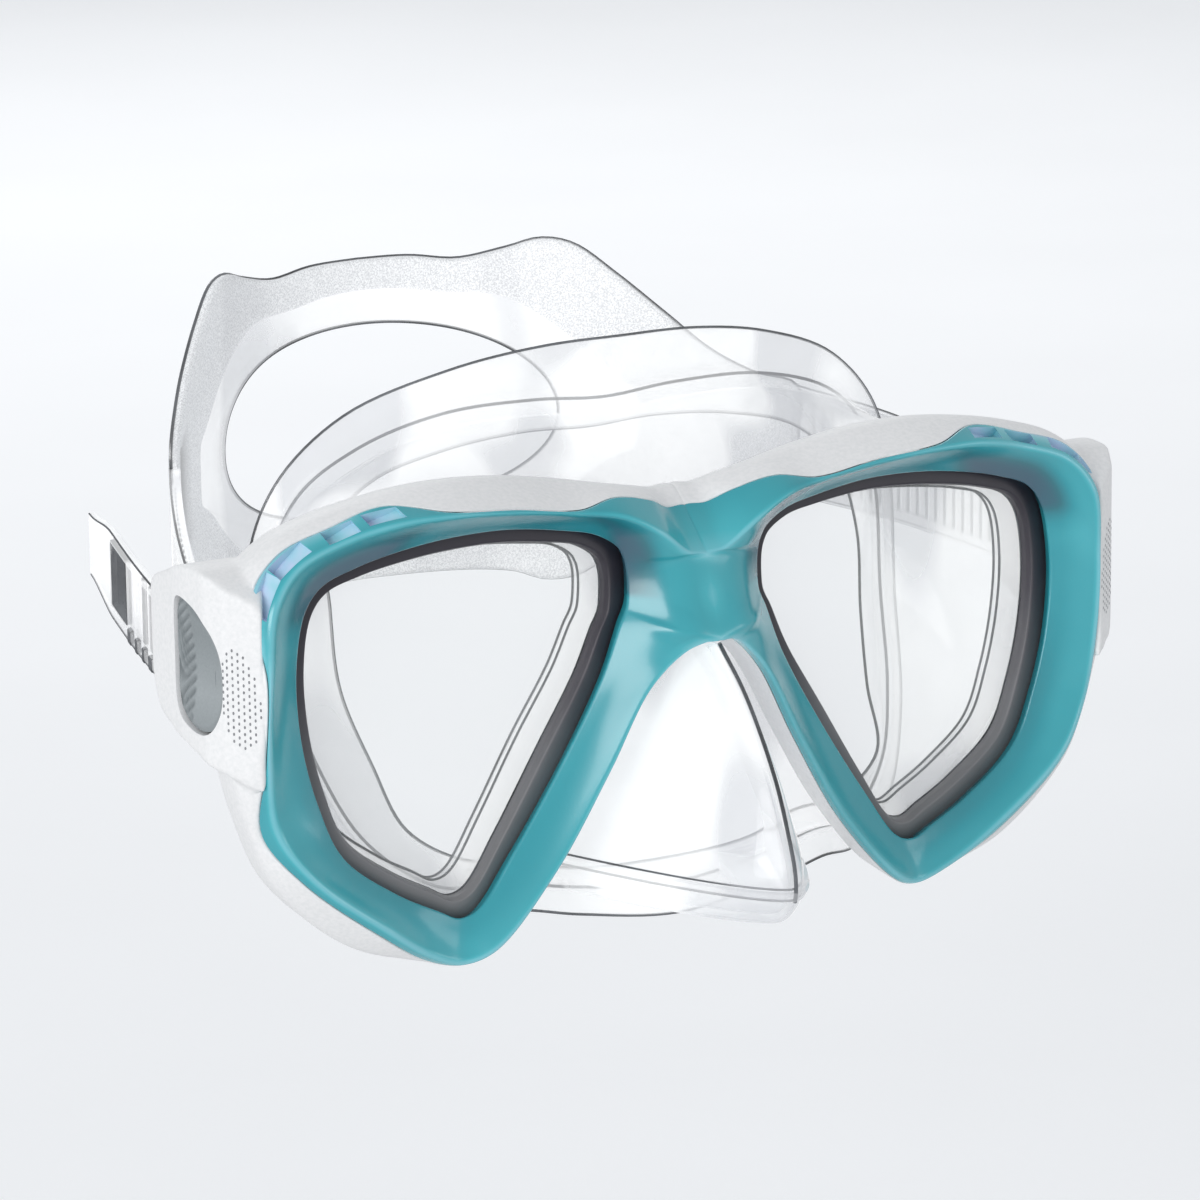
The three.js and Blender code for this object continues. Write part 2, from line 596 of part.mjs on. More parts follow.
// One quarter of the rear panel's outline, from the middle of its end to its middle.
function panelQuarter(pairs) {
  const points = pairs.map(([along, height]) => new THREE.Vector2(along, height));
  const path = new THREE.CurvePath();
  path.add(new THREE.LineCurve(new THREE.Vector2(PANEL_END, PANEL_END_MIDDLE), points[0]));
  path.add(new THREE.SplineCurve(points));
  return path;
}
const PANEL_UPPER = panelQuarter(PANEL_TOP);
const PANEL_LOWER = panelQuarter(PANEL_BOTTOM);

function panelOutline(turn) {
  const quarter = Math.floor(turn * 4) % 4;
  const share = turn * 4 - Math.floor(turn * 4);
  const line = quarter < 2 ? PANEL_UPPER : PANEL_LOWER;
  const point = line.getPoint(quarter % 2 === 0 ? share : 1 - share);
  return quarter === 0 || quarter === 3 ? point : point.setX(-point.x);
}

// The rear panel is a ring round its oval opening.
function strapBack() {
  const rows = 4;
  const sectionAt = (turn) => {
    const outer = panelOutline(turn);
    const angle = 2 * Math.PI * turn;
    const inner = new THREE.Vector2(
      PANEL_HOLE.halfLength * Math.cos(angle),
      PANEL_MIDDLE + PANEL_HOLE.halfHeight * Math.sin(angle),
    );
    const face = (depth) => Array.from({ length: rows + 1 }, (_, i) => {
      const point = outer.clone().lerp(inner, i / rows);
      return onStrap(point.x, point.y, depth);
    });
    return [...face(STRAP_THICK / 2), ...face(-STRAP_THICK / 2).reverse()];
  };
  return ring(sectionAt, 2 * rows + 2, 48);
}

function strapRun() {
  const spline = (pairs) => new THREE.SplineCurve(pairs.map((pair) => new THREE.Vector2(...pair)));
  const [top, bottom] = [spline(RUN_TOP), spline(RUN_BOTTOM)];
  const sectionAt = (share) => [[top, 1], [top, -1], [bottom, -1], [bottom, 1]].map(([edge, side]) => {
    const point = edge.getPoint(share);
    return onStrap(Math.min(point.x, STRAP_HALF), point.y, (side * STRAP_THICK) / 2);
  });
  return bar(sectionAt, 4, 8);
}

// The strap's turn round the roller: both legs and the bend, seen from above.
function strapWrap() {
  const middle = ROLLER.radius + GAP + BAND.thick / 2;
  const shape = new THREE.Shape();
  const [outer, inner] = [middle + BAND.thick / 2, middle - BAND.thick / 2];
  const { x, y } = ROLLER;
  shape.moveTo(x - outer, WRAP_END);
  shape.lineTo(x - outer, y);
  shape.absarc(x, y, outer, Math.PI, 2 * Math.PI, false);
  shape.lineTo(x + inner, y);
  shape.absarc(x, y, inner, 2 * Math.PI, Math.PI, true);
  shape.lineTo(x - inner, WRAP_END);
  shape.closePath();
  const flat = new THREE.ExtrudeGeometry(shape, {
    depth: BAND.high - BAND.low, bevelEnabled: false, curveSegments: 10,
  });
  return closeUp(flat.translate(0, 0, BAND.low));
}

function strapTail(tail) {
  const points = tail.path.map((point) => new THREE.Vector3(...point));
  const path = new THREE.CatmullRomCurve3(points, false, 'centripetal');
  const steps = 12;
  const sectionAt = (v) => {
    const middle = path.getPoint(v);
    const along = path.getTangent(v);
    const outward = new THREE.Vector3(along.y, -along.x, 0).normalize();
    const upward = new THREE.Vector3().crossVectors(outward, along).normalize();
    const half = (TAIL_WIDTH / 2) * (v > TAIL_TIP.from ? TAIL_TIP.narrower : 1);
    return [[1, 1], [1, -1], [-1, -1], [-1, 1]].map(([side, height]) => middle.clone()
      .addScaledVector(outward, (side * TAIL_THICK) / 2)
      .addScaledVector(upward, height * half));
  };
  const middle = path.getPoint(TAIL_SLOT.along);
  const slot = new THREE.BoxGeometry(OUTSIDE, TAIL_SLOT.length, TAIL_SLOT.height);
  slot.rotateX(tail.lean).translate(middle.x, middle.y, middle.z);
  return geometryOf(solid(bar(sectionAt, 4, steps)).subtract(solid(slot)));
}

// ---- Buckle mechanism ----
function button() {
  const outline = solid(prismX(buttonOutline(0), 0, OUTSIDE));
  return geometryOf(outline.intersect(solid(prismZ(BUTTON_PLAN, -OUTSIDE, OUTSIDE))));
}

function pawl() {
  const bore = pinZ(BUTTON_PIVOT.x, BUTTON_PIVOT.y, PIN.radius + GAP, PAWL.low - 5, PAWL.high + 5);
  return geometryOf(solid(prismZ(PAWL_OUTLINE, PAWL.low, PAWL.high)).subtract(solid(bore)));
}

function roller() {
  const { x, y, radius } = ROLLER;
  const barrel = solid(pinZ(x, y, radius, BAND.low, BAND.high));
  return geometryOf(barrel.subtract(solid(pinZ(x, y, PIN.radius + GAP, BAND.low - 5, BAND.high + 5))));
}

class SpringHelix extends THREE.Curve {
  getPoint(t, target = new THREE.Vector3()) {
    const angle = 2 * Math.PI * SPRING.turns * t;
    const x = BUTTON_PIVOT.x + SPRING.radius * Math.cos(angle);
    const y = BUTTON_PIVOT.y + SPRING.radius * Math.sin(angle);
    return target.set(x, y, THREE.MathUtils.lerp(SPRING.low, SPRING.high, t));
  }
}

function pawlSpring() {
  const wire = new THREE.Shape().absarc(0, 0, SPRING.wire, 0, 2 * Math.PI, false);
  const steps = 9 * SPRING.turns;
  return closeUp(new THREE.ExtrudeGeometry(wire, {
    steps, extrudePath: new SpringHelix(), curveSegments: 3, bevelEnabled: false,
  }));
}

// ---- Assembly ----
const mask = new THREE.Group();
mask.add(piece('front_frame', frontFrame(), 'teal'));
mask.add(piece('rear_frame', rearFrame(), 'white'));
mask.add(piece('skirt', skirt(), 'clear'));
mask.add(piece('strap_back', strapBack(), 'clear'));

const pairedPieces = [
  ['lens', lensGlass(), 'glass'],
  ['lens_seal', lensSeal(), 'dark'],
  ['buckle_cover', box(COVER), 'white'],
  ['button', button(), 'grey'],
  ['button_pin', pinZ(BUTTON_PIVOT.x, BUTTON_PIVOT.y, PIN.radius, PIN.low, PIN.high), 'steel'],
  ['pawl', pawl(), 'grey'],
  ['pawl_spring', pawlSpring(), 'steel'],
  ['roller', roller(), 'dark'],
  ['roller_pin', pinZ(ROLLER.x, ROLLER.y, PIN.radius, PIN.low, PIN.high), 'steel'],
  ['strap_wrap', strapWrap(), 'clear'],
  ['strap_run', strapRun(), 'clear'],
];
pairedPieces.forEach(([name, geometry, look]) => {
  const left = closeUp(geometry);
  mask.add(piece(`${name}_l`, left, look));
  mask.add(piece(`${name}_r`, mirrored(left), look));
});
mask.add(piece('strap_tail_l', closeUp(strapTail(LEVEL_TAIL)), 'clear'));
mask.add(piece('strap_tail_r', mirrored(closeUp(strapTail(RAISED_TAIL))), 'clear'));

export default mask;
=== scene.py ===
"""A twin-lens diving mask as it is worn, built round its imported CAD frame.

Tables are in millimetres, in the frame's own axes: the lenses face -Y, +Z is up and +X is the
wearer's left. Pieces of the right-hand side are mirror images of those on the left.
"""

import math

import bmesh
import bpy
import numpy as np
from mathutils import Matrix, Vector
from mathutils.bvhtree import BVHTree


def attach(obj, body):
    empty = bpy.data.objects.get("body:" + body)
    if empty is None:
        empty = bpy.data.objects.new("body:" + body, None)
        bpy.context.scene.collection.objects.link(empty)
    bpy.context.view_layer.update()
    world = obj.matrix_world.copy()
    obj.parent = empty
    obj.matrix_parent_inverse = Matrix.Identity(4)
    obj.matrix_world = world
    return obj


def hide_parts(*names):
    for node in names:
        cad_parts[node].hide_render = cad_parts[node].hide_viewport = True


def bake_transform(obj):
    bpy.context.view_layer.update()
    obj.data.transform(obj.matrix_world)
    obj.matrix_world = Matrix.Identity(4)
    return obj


MM = 0.001
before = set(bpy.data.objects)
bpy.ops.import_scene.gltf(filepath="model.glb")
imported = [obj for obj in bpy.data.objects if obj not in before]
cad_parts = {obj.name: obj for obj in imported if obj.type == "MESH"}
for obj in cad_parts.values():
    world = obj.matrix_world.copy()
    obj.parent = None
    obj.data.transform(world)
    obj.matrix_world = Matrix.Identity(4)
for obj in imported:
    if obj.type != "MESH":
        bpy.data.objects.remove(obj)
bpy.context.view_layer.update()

# ---- Driving dimensions ----
MIDDLE = -0.6  # half of a mirrored ring runs this far past the middle plane
LENS_CENTRE = np.array([44.0, 0.0, 8.0])
WRAP_SLOPE = 0.035
SPAN_STEPS = 10  # steps between two neighbouring sections of a frame ring

# Once round the left lens, from the bridge over the brow and the temple.
# lens: edge of the opening (x, z); crest: front ridge; edge: where the front frame meets the
# rear frame; shell: outermost line of the rear frame (x, y, z).
FRAME_KEYS = ("lens", "crest", "edge", "shell")
FRAME_SECTIONS = [dict(zip(FRAME_KEYS, points)) for points in (
    ((12.7, 22.5), (MIDDLE, -7.5, 21.5), (MIDDLE, 0.5, 24), (MIDDLE, 5, 25)),
    ((12.9, 26.5), (MIDDLE, -5.7, 28), (MIDDLE, 1.5, 35), (MIDDLE, 5, 37.9)),
    ((13.5, 28.6), (3.2, -6.1, 28.9), (3.6, 0.9, 35.5), (3.6, 4.9, 38.1)),
    ((14.6, 30.3), (9, -7.2, 33), (8, -1.2, 37.6), (8, 4.6, 39)),
    ((18.5, 32.7), (16, -6.8, 36.6), (15.5, -2.4, 39.2), (15, 5.3, 40.3)),
    ((24, 34), (23, -4.8, 37.6), (23, -3.9, 38.2), (23, 5.4, 42)),
    ((35, 35.5), (35, -4.8, 39.2), (35, -4, 39.8), (34.5, 4.8, 43.8)),
    ((46, 35.3), (47, -5.2, 40.2), (47, -4, 40.9), (45, 5, 44.2)),
    ((55, 34.1), (56, -4.6, 40.1), (57, 0.9, 42.3), (55, 5.5, 43.4)),
    ((62, 32.5), (66, -3.2, 38), (66.5, 1, 40), (66, 4, 41.5)),
    ((68.3, 30.1), (75, -3.6, 34.5), (76.5, 1, 36.5), (76, 4, 38)),
    ((71.3, 26.3), (79.4, -4.5, 28.5), (81.8, 0, 30), (82.5, 4, 32)),
    ((73.1, 17), (80.3, -4.2, 17), (80.8, -3.4, 17), (85.5, 2, 17)),
    ((72.5, 5), (80.4, -3, 3), (80.9, -2.2, 3), (85, 2, 3)),
    ((69.8, -6), (79, -2, -8.5), (80.5, 1, -9.5), (81.5, 2, -10.5)),
    ((65.5, -15.5), (73.3, -3.6, -17), (74.5, -2, -18), (77, 2, -20)),
    ((56, -23), (59.5, -3.8, -28), (60.5, -2.5, -29.2), (64, 2, -31.5)),
    ((48.5, -27), (50.5, -2.2, -34.3), (51, 0, -35.3), (51, 2, -35.8)),
    ((44.6, -28.8), (44.6, -1.8, -36.4), (44.6, 0, -37), (44.6, 2, -37)),
    ((41.2, -27.8), (39.5, -3.6, -34.2), (39, -2, -34.8), (39, 1.5, -34.5)),
    ((34.5, -19), (28.4, -4.6, -22.4), (28, -2, -22.6), (28.5, 1.5, -22)),
    ((25, -4.5), (18.6, -5.8, -6.5), (18.2, -3, -6.5), (19, 1, -6)),
    ((17.6, 8.5), (11.3, -6.9, 6.8), (11, -4, 6.8), (12, 1, 6)),
    ((14.2, 17), (5.5, -8.3, 12.6), (5.5, -5, 12.6), (6, 1, 12)),
    ((13.4, 18.6), (2.6, -9.5, 14.1), (2.6, -6.4, 14.1), (2.8, 1, 13.7)),
    ((12.9, 20), (MIDDLE, -10, 14.6), (MIDDLE, -7, 14.6), (MIDDLE, 1, 14.4)),
)]
RIM_DEPTH = 2.6
RIM_GROW = 1.0
CHASSIS = dict(grow=3.3, front=3.2, back=9.2)
SHELL_DRAFT = 0.8  # how far the rear frame's outside draws in towards its back
SEAL = dict(front=3.0, back=4.7, outer=1.6, inner=-2.8)
COLLAR = dict(front=8.8, back=11.4, outer=1.2, inner=-4.2)
NOTCHES = dict(first=8.2, spacing=0.85, count=4, length=7.0, width=3.2, deep=2.2, sink=1.1, place=0.55)
NOTCH_LEAN = math.radians(-12.6)

# The face skirt, from the forehead over the temple and cheek to the upper lip.
SKIRT_WALL = 1.6
# Each row: root (at the frame), shoulder and mid (along the wall), lip and inner (feathered edges).
SKIRT_KEYS = ("root", "shoulder", "mid", "lip", "inner")
SKIRT_SECTIONS = [dict(zip(SKIRT_KEYS, points)) for points in (
    ((0, 10.2, 34.5), (0, 20, 42), (0, 27.5, 49), (0, 22, 60.3), (0, 33, 43)),
    ((15, 10.2, 36.5), (14, 19.3, 43), (14, 27.5, 50), (15, 22.5, 60), (13, 33, 43.5)),
    ((32, 10.2, 39.3), (31, 18, 43.5), (31, 28, 49.5), (31, 25.5, 57.2), (28, 33.5, 42)),
    ((48, 10.2, 39), (46, 20, 41), (46, 30, 45), (48, 30.8, 50.5), (42, 34, 38)),
    ((62, 10.2, 35.5), (60, 24, 36), (55.5, 34, 37), (59, 34.5, 39.5), (50.5, 34, 30)),
    ((72.5, 10.2, 25), (69, 24, 25), (60, 36, 24), (63.5, 36.5, 25.5), (52, 30, 19)),
    ((74.3, 10.2, 8), (70, 22, 8), (59, 33, 7), (62.5, 33.5, 6), (51.5, 28, 5)),
    ((70.5, 10.2, -8), (66.5, 18, -9), (56, 26, -9), (59, 26, -13), (49, 22, -7)),
    ((60, 10.2, -21), (58, 14, -22), (51, 20, -20), (52, 19, -26.5), (46.5, 15, -17)),
    ((46, 10.2, -28.6), (45, 12, -29.5), (41, 14, -27.5), (41, 12.5, -32.5), (37, 12.5, -23)),
    ((33, 8.5, -27.5), (32.5, 9.5, -28.5), (30, 10, -27.5), (30, 6.5, -31.5), (27.5, 12, -24)),
    ((20, 6.5, -29), (20, 7, -30), (19, 8, -29.5), (19, 4.5, -33.5), (18, 11, -27)),
    ((0, 4.5, -30.5), (0, 5.5, -31.5), (0, 7, -31.5), (0, 4, -36), (0, 10.5, -28)),
)]
WEB = dict(depth=10.4, thick=1.6, inset=0.6, nose_levels=7)
SKIRT_CENTRE = np.array([0.0, 20.0, 8.0])

# The nose pocket from the frame's arch down, then in under the floor: height, ridge and half width.
NOSE_SECTIONS = [
    (13.5, -8.5, 3.0), (6, -17, 8.8), (-5.4, -25.5, 14.2), (-14, -29.6, 17.8), (-21.5, -32, 20.8),
    (-26, -31.5, 21.6), (-29.5, -28.5, 20.6), (-30.6, -24.5, 17.5), (-30.2, -20, 13.5), (-29.6, -14, 9),
]
NOSE_REAR = 9.0
NOSE_TIP = -31.6  # the rim starts just below where the ridge passes this depth

HOUSING_SIDE = [
    (-3, 28), (1, 32), (6, 34.4), (12.5, 34.2), (18.5, 32.2), (23.4, 29.9), (24.2, 25), (23.6, 13),
    (21.5, 8.6), (17, 6.4), (9, 4), (1, 0.5), (-3, -2),
]
HOUSING_PLAN = [(76.3, 6), (81.2, -3), (86.2, 1), (88, 4.8), (88.4, 12), (87.8, 24.2), (76.3, 24.2)]
FAR_OUT = 95  # beyond the housing's outer face
SOFTENING = dict(voxel=0.45, passes=9, corner_passes=70)
HOUSING_FROM = 70.0  # how far out from the middle the housing's softened surface takes over
MOUTH = ((78.3, 15.6, 10.6), (86.7, 26, 28.5))  # where the strap goes in
CAVITY = ((78.8, 6.5, 11.2), (85.5, 16, 27.8))  # the rest of the space round the roller
BUTTON_OUTLINE = [
    (13.4, 28.4), (13.9, 19.5), (13.2, 10.6), (9, 8.1), (4.5, 8.2), (2.3, 11.6), (1.9, 16.5),
    (2.6, 21.6), (5, 25.6), (9.1, 28),
]
BUTTON_CENTRE = (6.8, 18)
BUTTON_PLAN = [(83.9, -1.1), (86, 0.9), (87.8, 4.7), (88.3, 9), (88.3, 14.6)]
BUTTON_SINK = 0.15  # how far its face lies below the housing's surface
BUTTON_THICK = 1.3
BUTTON_GAP = 0.5
RECESS = dict(floor=85.6, front_floor=82.3, front_end=4.6)
RIBS = dict(pitch=1.9, height=0.24)
DOTS = dict(
    columns=8, rows=16, front=-2.6, bottom=5.5, column_pitch=0.56, row_pitch=1.15, width=0.34, height=0.56,
    corners=8,
)

STRAP_PLAN = [(0, 115), (18, 112), (32, 104.5), (45, 92.5), (54, 81), (64, 62), (73, 42), (79.4, 24.3)]
STRAP_THICK = 2.0
PANEL_END = 84.0
PANEL_TOP = [
    (84, 37), (75, 38.6), (66, 42), (57, 48.3), (48, 55), (40, 60.3), (34, 61.2), (28, 59.6),
    (19, 57.8), (10, 58.8), (0, 59),
]
PANEL_BOTTOM = [
    (84, 17), (75, 17.5), (66, 16), (57, 10.7), (48, 4), (40, -1.3), (34, -2.2), (28, -0.6), (0, 0),
]
PANEL_MIDDLE = 29.5
PANEL_HOLE = (37.0, 17.8)
RUN_TOP = [(84, 37), (104, 34), (129, 27.7)]
RUN_BOTTOM = [(84, 17), (104, 15), (129, 11.2)]
RIB_PITCH = 2.0
TAIL_START = [(85.6, 16.9, 19.45), (85.6, 20.5, 19.45), (85.6, 24, 19.8)]
LEVEL_TAIL = TAIL_START + [(87.3, 29.5, 20.2), (91.3, 37.3, 20.8)]
RAISED_TAIL = TAIL_START + [(87.3, 29.5, 23.8), (91.3, 37.3, 33.4)]
TAIL_WIDTH = 14.5
TAIL_THICK = 2.0
TAIL_SLOT = (0.80, 0.89)  # from where to where along the tail


# ---- Curves and meshes ----
def spline(points, per_span, closed=False):
    """A centripetal Catmull-Rom curve through the points, with per_span steps between neighbours."""
    inner = np.asarray(points, float)
    if closed:
        padded = np.vstack([inner[-1:], inner, inner[:2]])
    else:
        padded = np.vstack([2 * inner[:1] - inner[1:2], inner, 2 * inner[-1:] - inner[-2:-1]])
    curve = []
    for a, b, c, d in zip(padded, padded[1:], padded[2:], padded[3:]):
        before, here, after = (max(np.linalg.norm(v - u), 1e-6) ** 0.5 for u, v in ((a, b), (b, c), (c, d)))
        leave = ((b - a) / before - (c - a) / (before + here) + (c - b) / here) * here
        arrive = ((c - b) / here - (d - b) / (here + after) + (d - c) / after) * here
        for s in np.arange(per_span) / per_span:
            curve.append(
                (2 * s**3 - 3 * s**2 + 1) * b + (s**3 - 2 * s**2 + s) * leave
                + (3 * s**2 - 2 * s**3) * c + (s**3 - s**2) * arrive
            )
    if not closed:
        curve.append(inner[-1])
    return np.array(curve)


def lengths_along(line):
    return np.concatenate([[0], np.cumsum(np.linalg.norm(np.diff(line, axis=0), axis=1))])


def unit(vectors):
    return vectors / np.maximum(np.linalg.norm(vectors, axis=-1, keepdims=True), 1e-9)


def rounded(corners, radii, steps=4, closed=True):
    """Rounds the corners of a section that runs along a line: result[station][corner point]."""
    points = []
    count = len(corners)
    for i, (corner, radius) in enumerate(zip(corners, radii)):
        if not closed and i in (0, count - 1):
            points.append(corner)
            continue
        back, ahead = corners[i - 1] - corner, corners[(i + 1) % count] - corner
        start = corner + unit(back) * np.minimum(radius, 0.48 * np.linalg.norm(back, axis=-1, keepdims=True))
        end = corner + unit(ahead) * np.minimum(radius, 0.48 * np.linalg.norm(ahead, axis=-1, keepdims=True))
        for s in np.linspace(0, 1, steps):
            points.append((1 - s) ** 2 * start + 2 * s * (1 - s) * corner + s * s * end)
    return np.stack(points, axis=1)


def loft_faces(rows, columns, rows_closed, columns_closed):
    faces = []
    for i in range(rows if rows_closed else rows - 1):
        for j in range(columns if columns_closed else columns - 1):
            a, b = i * columns + j, i * columns + (j + 1) % columns
            c, d = ((i + 1) % rows) * columns + (j + 1) % columns, ((i + 1) % rows) * columns + j
            faces.append((a, b, c, d))
    return faces


def add_object(name, data):
    obj = bpy.data.objects.new(name, data)
    bpy.context.scene.collection.objects.link(obj)
    return obj


def duplicate(name, obj):
    return add_object(name, obj.data.copy())


def new_object(name, points, faces):
    """An object from points in millimetres, with its faces turned outwards."""
    mesh = bpy.data.meshes.new(name)
    mesh.from_pydata((np.asarray(points, float).reshape(-1, 3) * MM).tolist(), [], faces)
    obj = add_object(name, mesh)
    face_outwards(obj)
    return obj


def face_outwards(obj):
    bm = bmesh.new()
    bm.from_mesh(obj.data)
    bmesh.ops.remove_doubles(bm, verts=bm.verts, dist=1e-7)
    bmesh.ops.recalc_face_normals(bm, faces=bm.faces)
    bm.to_mesh(obj.data)
    bm.free()


def loft(name, grid, rows_closed=True, columns_closed=True, caps=False):
    rows, columns = grid.shape[:2]
    faces = loft_faces(rows, columns, rows_closed, columns_closed)
    if caps:
        faces.append(tuple(range(columns)))
        faces.append(tuple(range((rows - 1) * columns, rows * columns)))
    return new_object(name, grid, faces)


def evaluated_mesh(obj):
    return bpy.data.meshes.new_from_object(obj.evaluated_get(bpy.context.evaluated_depsgraph_get()))


def settle(obj):
    """Applies the object's modifiers to its mesh."""
    settled = evaluated_mesh(obj)
    obj.modifiers.clear()
    obj.data = settled
    return obj


def soften(obj, degrees=40):
    """Shades the mesh smooth, apart from edges sharper than the angle."""
    obj.data.shade_smooth()
    obj.data.set_sharp_from_angle(angle=math.radians(degrees))
    return obj


def remove(*objects):
    for obj in objects:
        bpy.data.objects.remove(obj)


def boolean(obj, tool, operation, material_mode="INDEX"):
    modifier = obj.modifiers.new("boolean", "BOOLEAN")
    modifier.operation = operation
    modifier.solver = "EXACT"
    modifier.material_mode = material_mode
    modifier.object = tool
    settle(obj)
    remove(tool)
    return obj


def flipped(name, obj):
    """A mirror image of a left-hand piece, for the right-hand side."""
    copy = duplicate(name, obj)
    copy.data.transform(Matrix.Scale(-1, 4, (1, 0, 0)))
    copy.data.flip_normals()
    return copy


def join_halves(obj):
    """Cuts a left half at the middle plane and joins it to its mirror image."""
    bm = bmesh.new()
    bm.from_mesh(obj.data)
    everything = bm.verts[:] + bm.edges[:] + bm.faces[:]
    bmesh.ops.bisect_plane(
        bm, geom=everything, dist=1e-7, plane_co=(0, 0, 0), plane_no=(-1, 0, 0), clear_outer=True
    )
    mirror = bmesh.ops.duplicate(bm, geom=bm.verts[:] + bm.edges[:] + bm.faces[:])["geom"]
    verts = [item for item in mirror if isinstance(item, bmesh.types.BMVert)]
    faces = [item for item in mirror if isinstance(item, bmesh.types.BMFace)]
    bmesh.ops.scale(bm, vec=(-1, 1, 1), verts=verts)
    bmesh.ops.reverse_faces(bm, faces=faces)
    bmesh.ops.remove_doubles(bm, verts=bm.verts, dist=2e-6)
    bm.to_mesh(obj.data)
    bm.free()
    return obj


def prism(name, outline, low, high, axis):
    """A flat outline carried along Z, or along X for an outline in (y, z)."""
    outline = np.asarray(outline, float)
    ends = []
    for level in (low, high):
        column = np.full((len(outline), 1), level)
        ends.append(np.hstack([column, outline] if axis == "X" else [outline, column]))
    return loft(name, np.stack(ends), rows_closed=False, caps=True)


def block(name, low, high):
    corners = [(low[0], low[1]), (high[0], low[1]), (high[0], high[1]), (low[0], high[1])]
    return prism(name, corners, low[2], high[2], "Z")


def paint(obj, name, values):
    """Stores one number for each vertex, for the materials to read."""
    attribute = obj.data.attributes.new(name, "FLOAT", "POINT")
    attribute.data.foreach_set("value", np.asarray(values, np.float32))


def vertices(obj):
    """The mesh's vertices in millimetres."""
    co = np.zeros(len(obj.data.vertices) * 3)
    obj.data.vertices.foreach_get("co", co)
    return co.reshape(-1, 3) / MM


# ---- The frame's guiding lines ----
def frame_line(key):
    points = [section[key] for section in FRAME_SECTIONS]
    if key == "lens":
        points = [(x, 0, z) for x, z in points]
    return spline(points, SPAN_STEPS, closed=True)


LENS_LINE, CREST_LINE, EDGE_LINE, SHELL_LINE = (frame_line(key) for key in FRAME_KEYS)


def beside_lens(grow, depth):
    """A line round the opening: grow millimetres outside its edge, depth behind its plane."""
    away = (LENS_LINE - LENS_CENTRE) * (1, 0, 1)
    line = LENS_LINE + unit(away) * grow
    line[:, 1] = WRAP_SLOPE * (line[:, 0] - LENS_CENTRE[0]) + depth
    return line


def smooth_step(values, start, end):
    share = np.clip((values - start) / (end - start), 0, 1)
    return share * share * (3 - 2 * share)


# ---- Materials ----
def material(name):
    """A material with a Principled shader, and a helper that adds and links its nodes."""
    made = bpy.data.materials.new(name)
    made.use_nodes = True
    tree = made.node_tree
    shader = tree.nodes["Principled BSDF"]

    def add(kind, **settings):
        node = tree.nodes.new(kind)
        for key, value in settings.items():
            target = node.inputs[key] if key in node.inputs else None
            if target is None:
                setattr(node, key, value)
            elif isinstance(value, bpy.types.NodeSocket):
                tree.links.new(value, target)
            else:
                target.default_value = value
        return node

    def link(source, socket):
        tree.links.new(source, socket)

    return made, shader, add, link


def settings(node, **values):
    """Sets a node's inputs, named with _ in place of each space."""
    for name, value in values.items():
        node.inputs[name.replace("_", " ")].default_value = value


def srgb(red, green, blue):
    """A display colour as the linear colour that shaders take."""
    def linear(value):
        value /= 255
        return value / 12.92 if value <= 0.04045 else ((value + 0.055) / 1.055) ** 2.4

    return (linear(red), linear(green), linear(blue), 1.0)


def ramp(add, source, stops):
    node = add("ShaderNodeValToRGB", Fac=source)
    elements = node.color_ramp.elements
    while len(elements) < len(stops):
        elements.new(0.5)
    for element, (position, colour) in zip(elements, stops):
        element.position = position
        element.color = colour
    return node.outputs["Color"]


def bump(add, link, shader, height, distance, strength=1.0):
    node = add("ShaderNodeBump", Height=height, Distance=distance, Strength=strength)
    link(node.outputs["Normal"], shader.inputs["Normal"])
    return node


def place(add):
    return add("ShaderNodeTexCoord").outputs["Object"]


def noise(add, where, scale, detail=3.0):
    return add("ShaderNodeTexNoise", Vector=where, Scale=scale, Detail=detail).outputs["Fac"]


def teal_plastic():
    """Translucent moulded plastic, with painted shade near the openings and a painted highlight along its
    crest.
    """
    made, shader, add, link = material("teal_plastic")
    where = place(add)
    painted_shading = add("ShaderNodeAttribute", attribute_name="painted_shading").outputs["Fac"]
    # Random mottle added to the painted shading read from the mesh.
    mottle_and_painted_shade = add("ShaderNodeMath", operation="MULTIPLY_ADD")
    link(noise(add, where, 45), mottle_and_painted_shade.inputs[0])
    mottle_and_painted_shade.inputs[1].default_value = 0.16
    link(painted_shading, mottle_and_painted_shade.inputs[2])
    colour = ramp(add, mottle_and_painted_shade.outputs[0], [
        (0.05, srgb(62, 88, 112)), (0.3, srgb(36, 118, 132)), (0.55, srgb(38, 160, 174)),
        (0.75, srgb(66, 184, 196)), (0.9, srgb(120, 205, 218)), (1.0, srgb(168, 204, 228)),
    ])
    link(colour, shader.inputs["Base Color"])
    settings(
        shader, Roughness=0.26, IOR=1.58, Coat_Weight=0.35,
        Coat_Roughness=0.12, Transmission_Weight=0.12,
    )
    bump(add, link, shader, noise(add, where, 2600, 2), 0.00002, 0.35)
    return made


def facet_plastic_painted_light():
    """The notches' slanted floors: the same plastic, painted pale and faintly lilac as a painted highlight
    on the facets.
    """
    made, shader, add, link = material("teal_facets_painted_light")
    where = place(add)
    colour = ramp(add, noise(add, where, 160), [
        (0.3, srgb(140, 208, 218)), (0.5, srgb(176, 216, 234)), (0.7, srgb(210, 214, 244)),
    ])
    link(colour, shader.inputs["Base Color"])
    settings(shader, Roughness=0.22, Coat_Weight=0.35)
    bump(add, link, shader, noise(add, where, 2600, 2), 0.00002, 0.35)
    return made


def white_plastic():
    """White plastic with a fine grain."""
    made, shader, add, link = material("white_plastic")
    where = place(add)
    stops = [(0.35, srgb(232, 233, 234)), (0.65, srgb(240, 240, 241))]
    speckle = ramp(add, noise(add, where, 1400, 4), stops)
    link(speckle, shader.inputs["Base Color"])
    settings(shader, Roughness=0.5, IOR=1.5)
    bump(add, link, shader, noise(add, where, 2200, 3), 0.00001, 0.25)
    return made


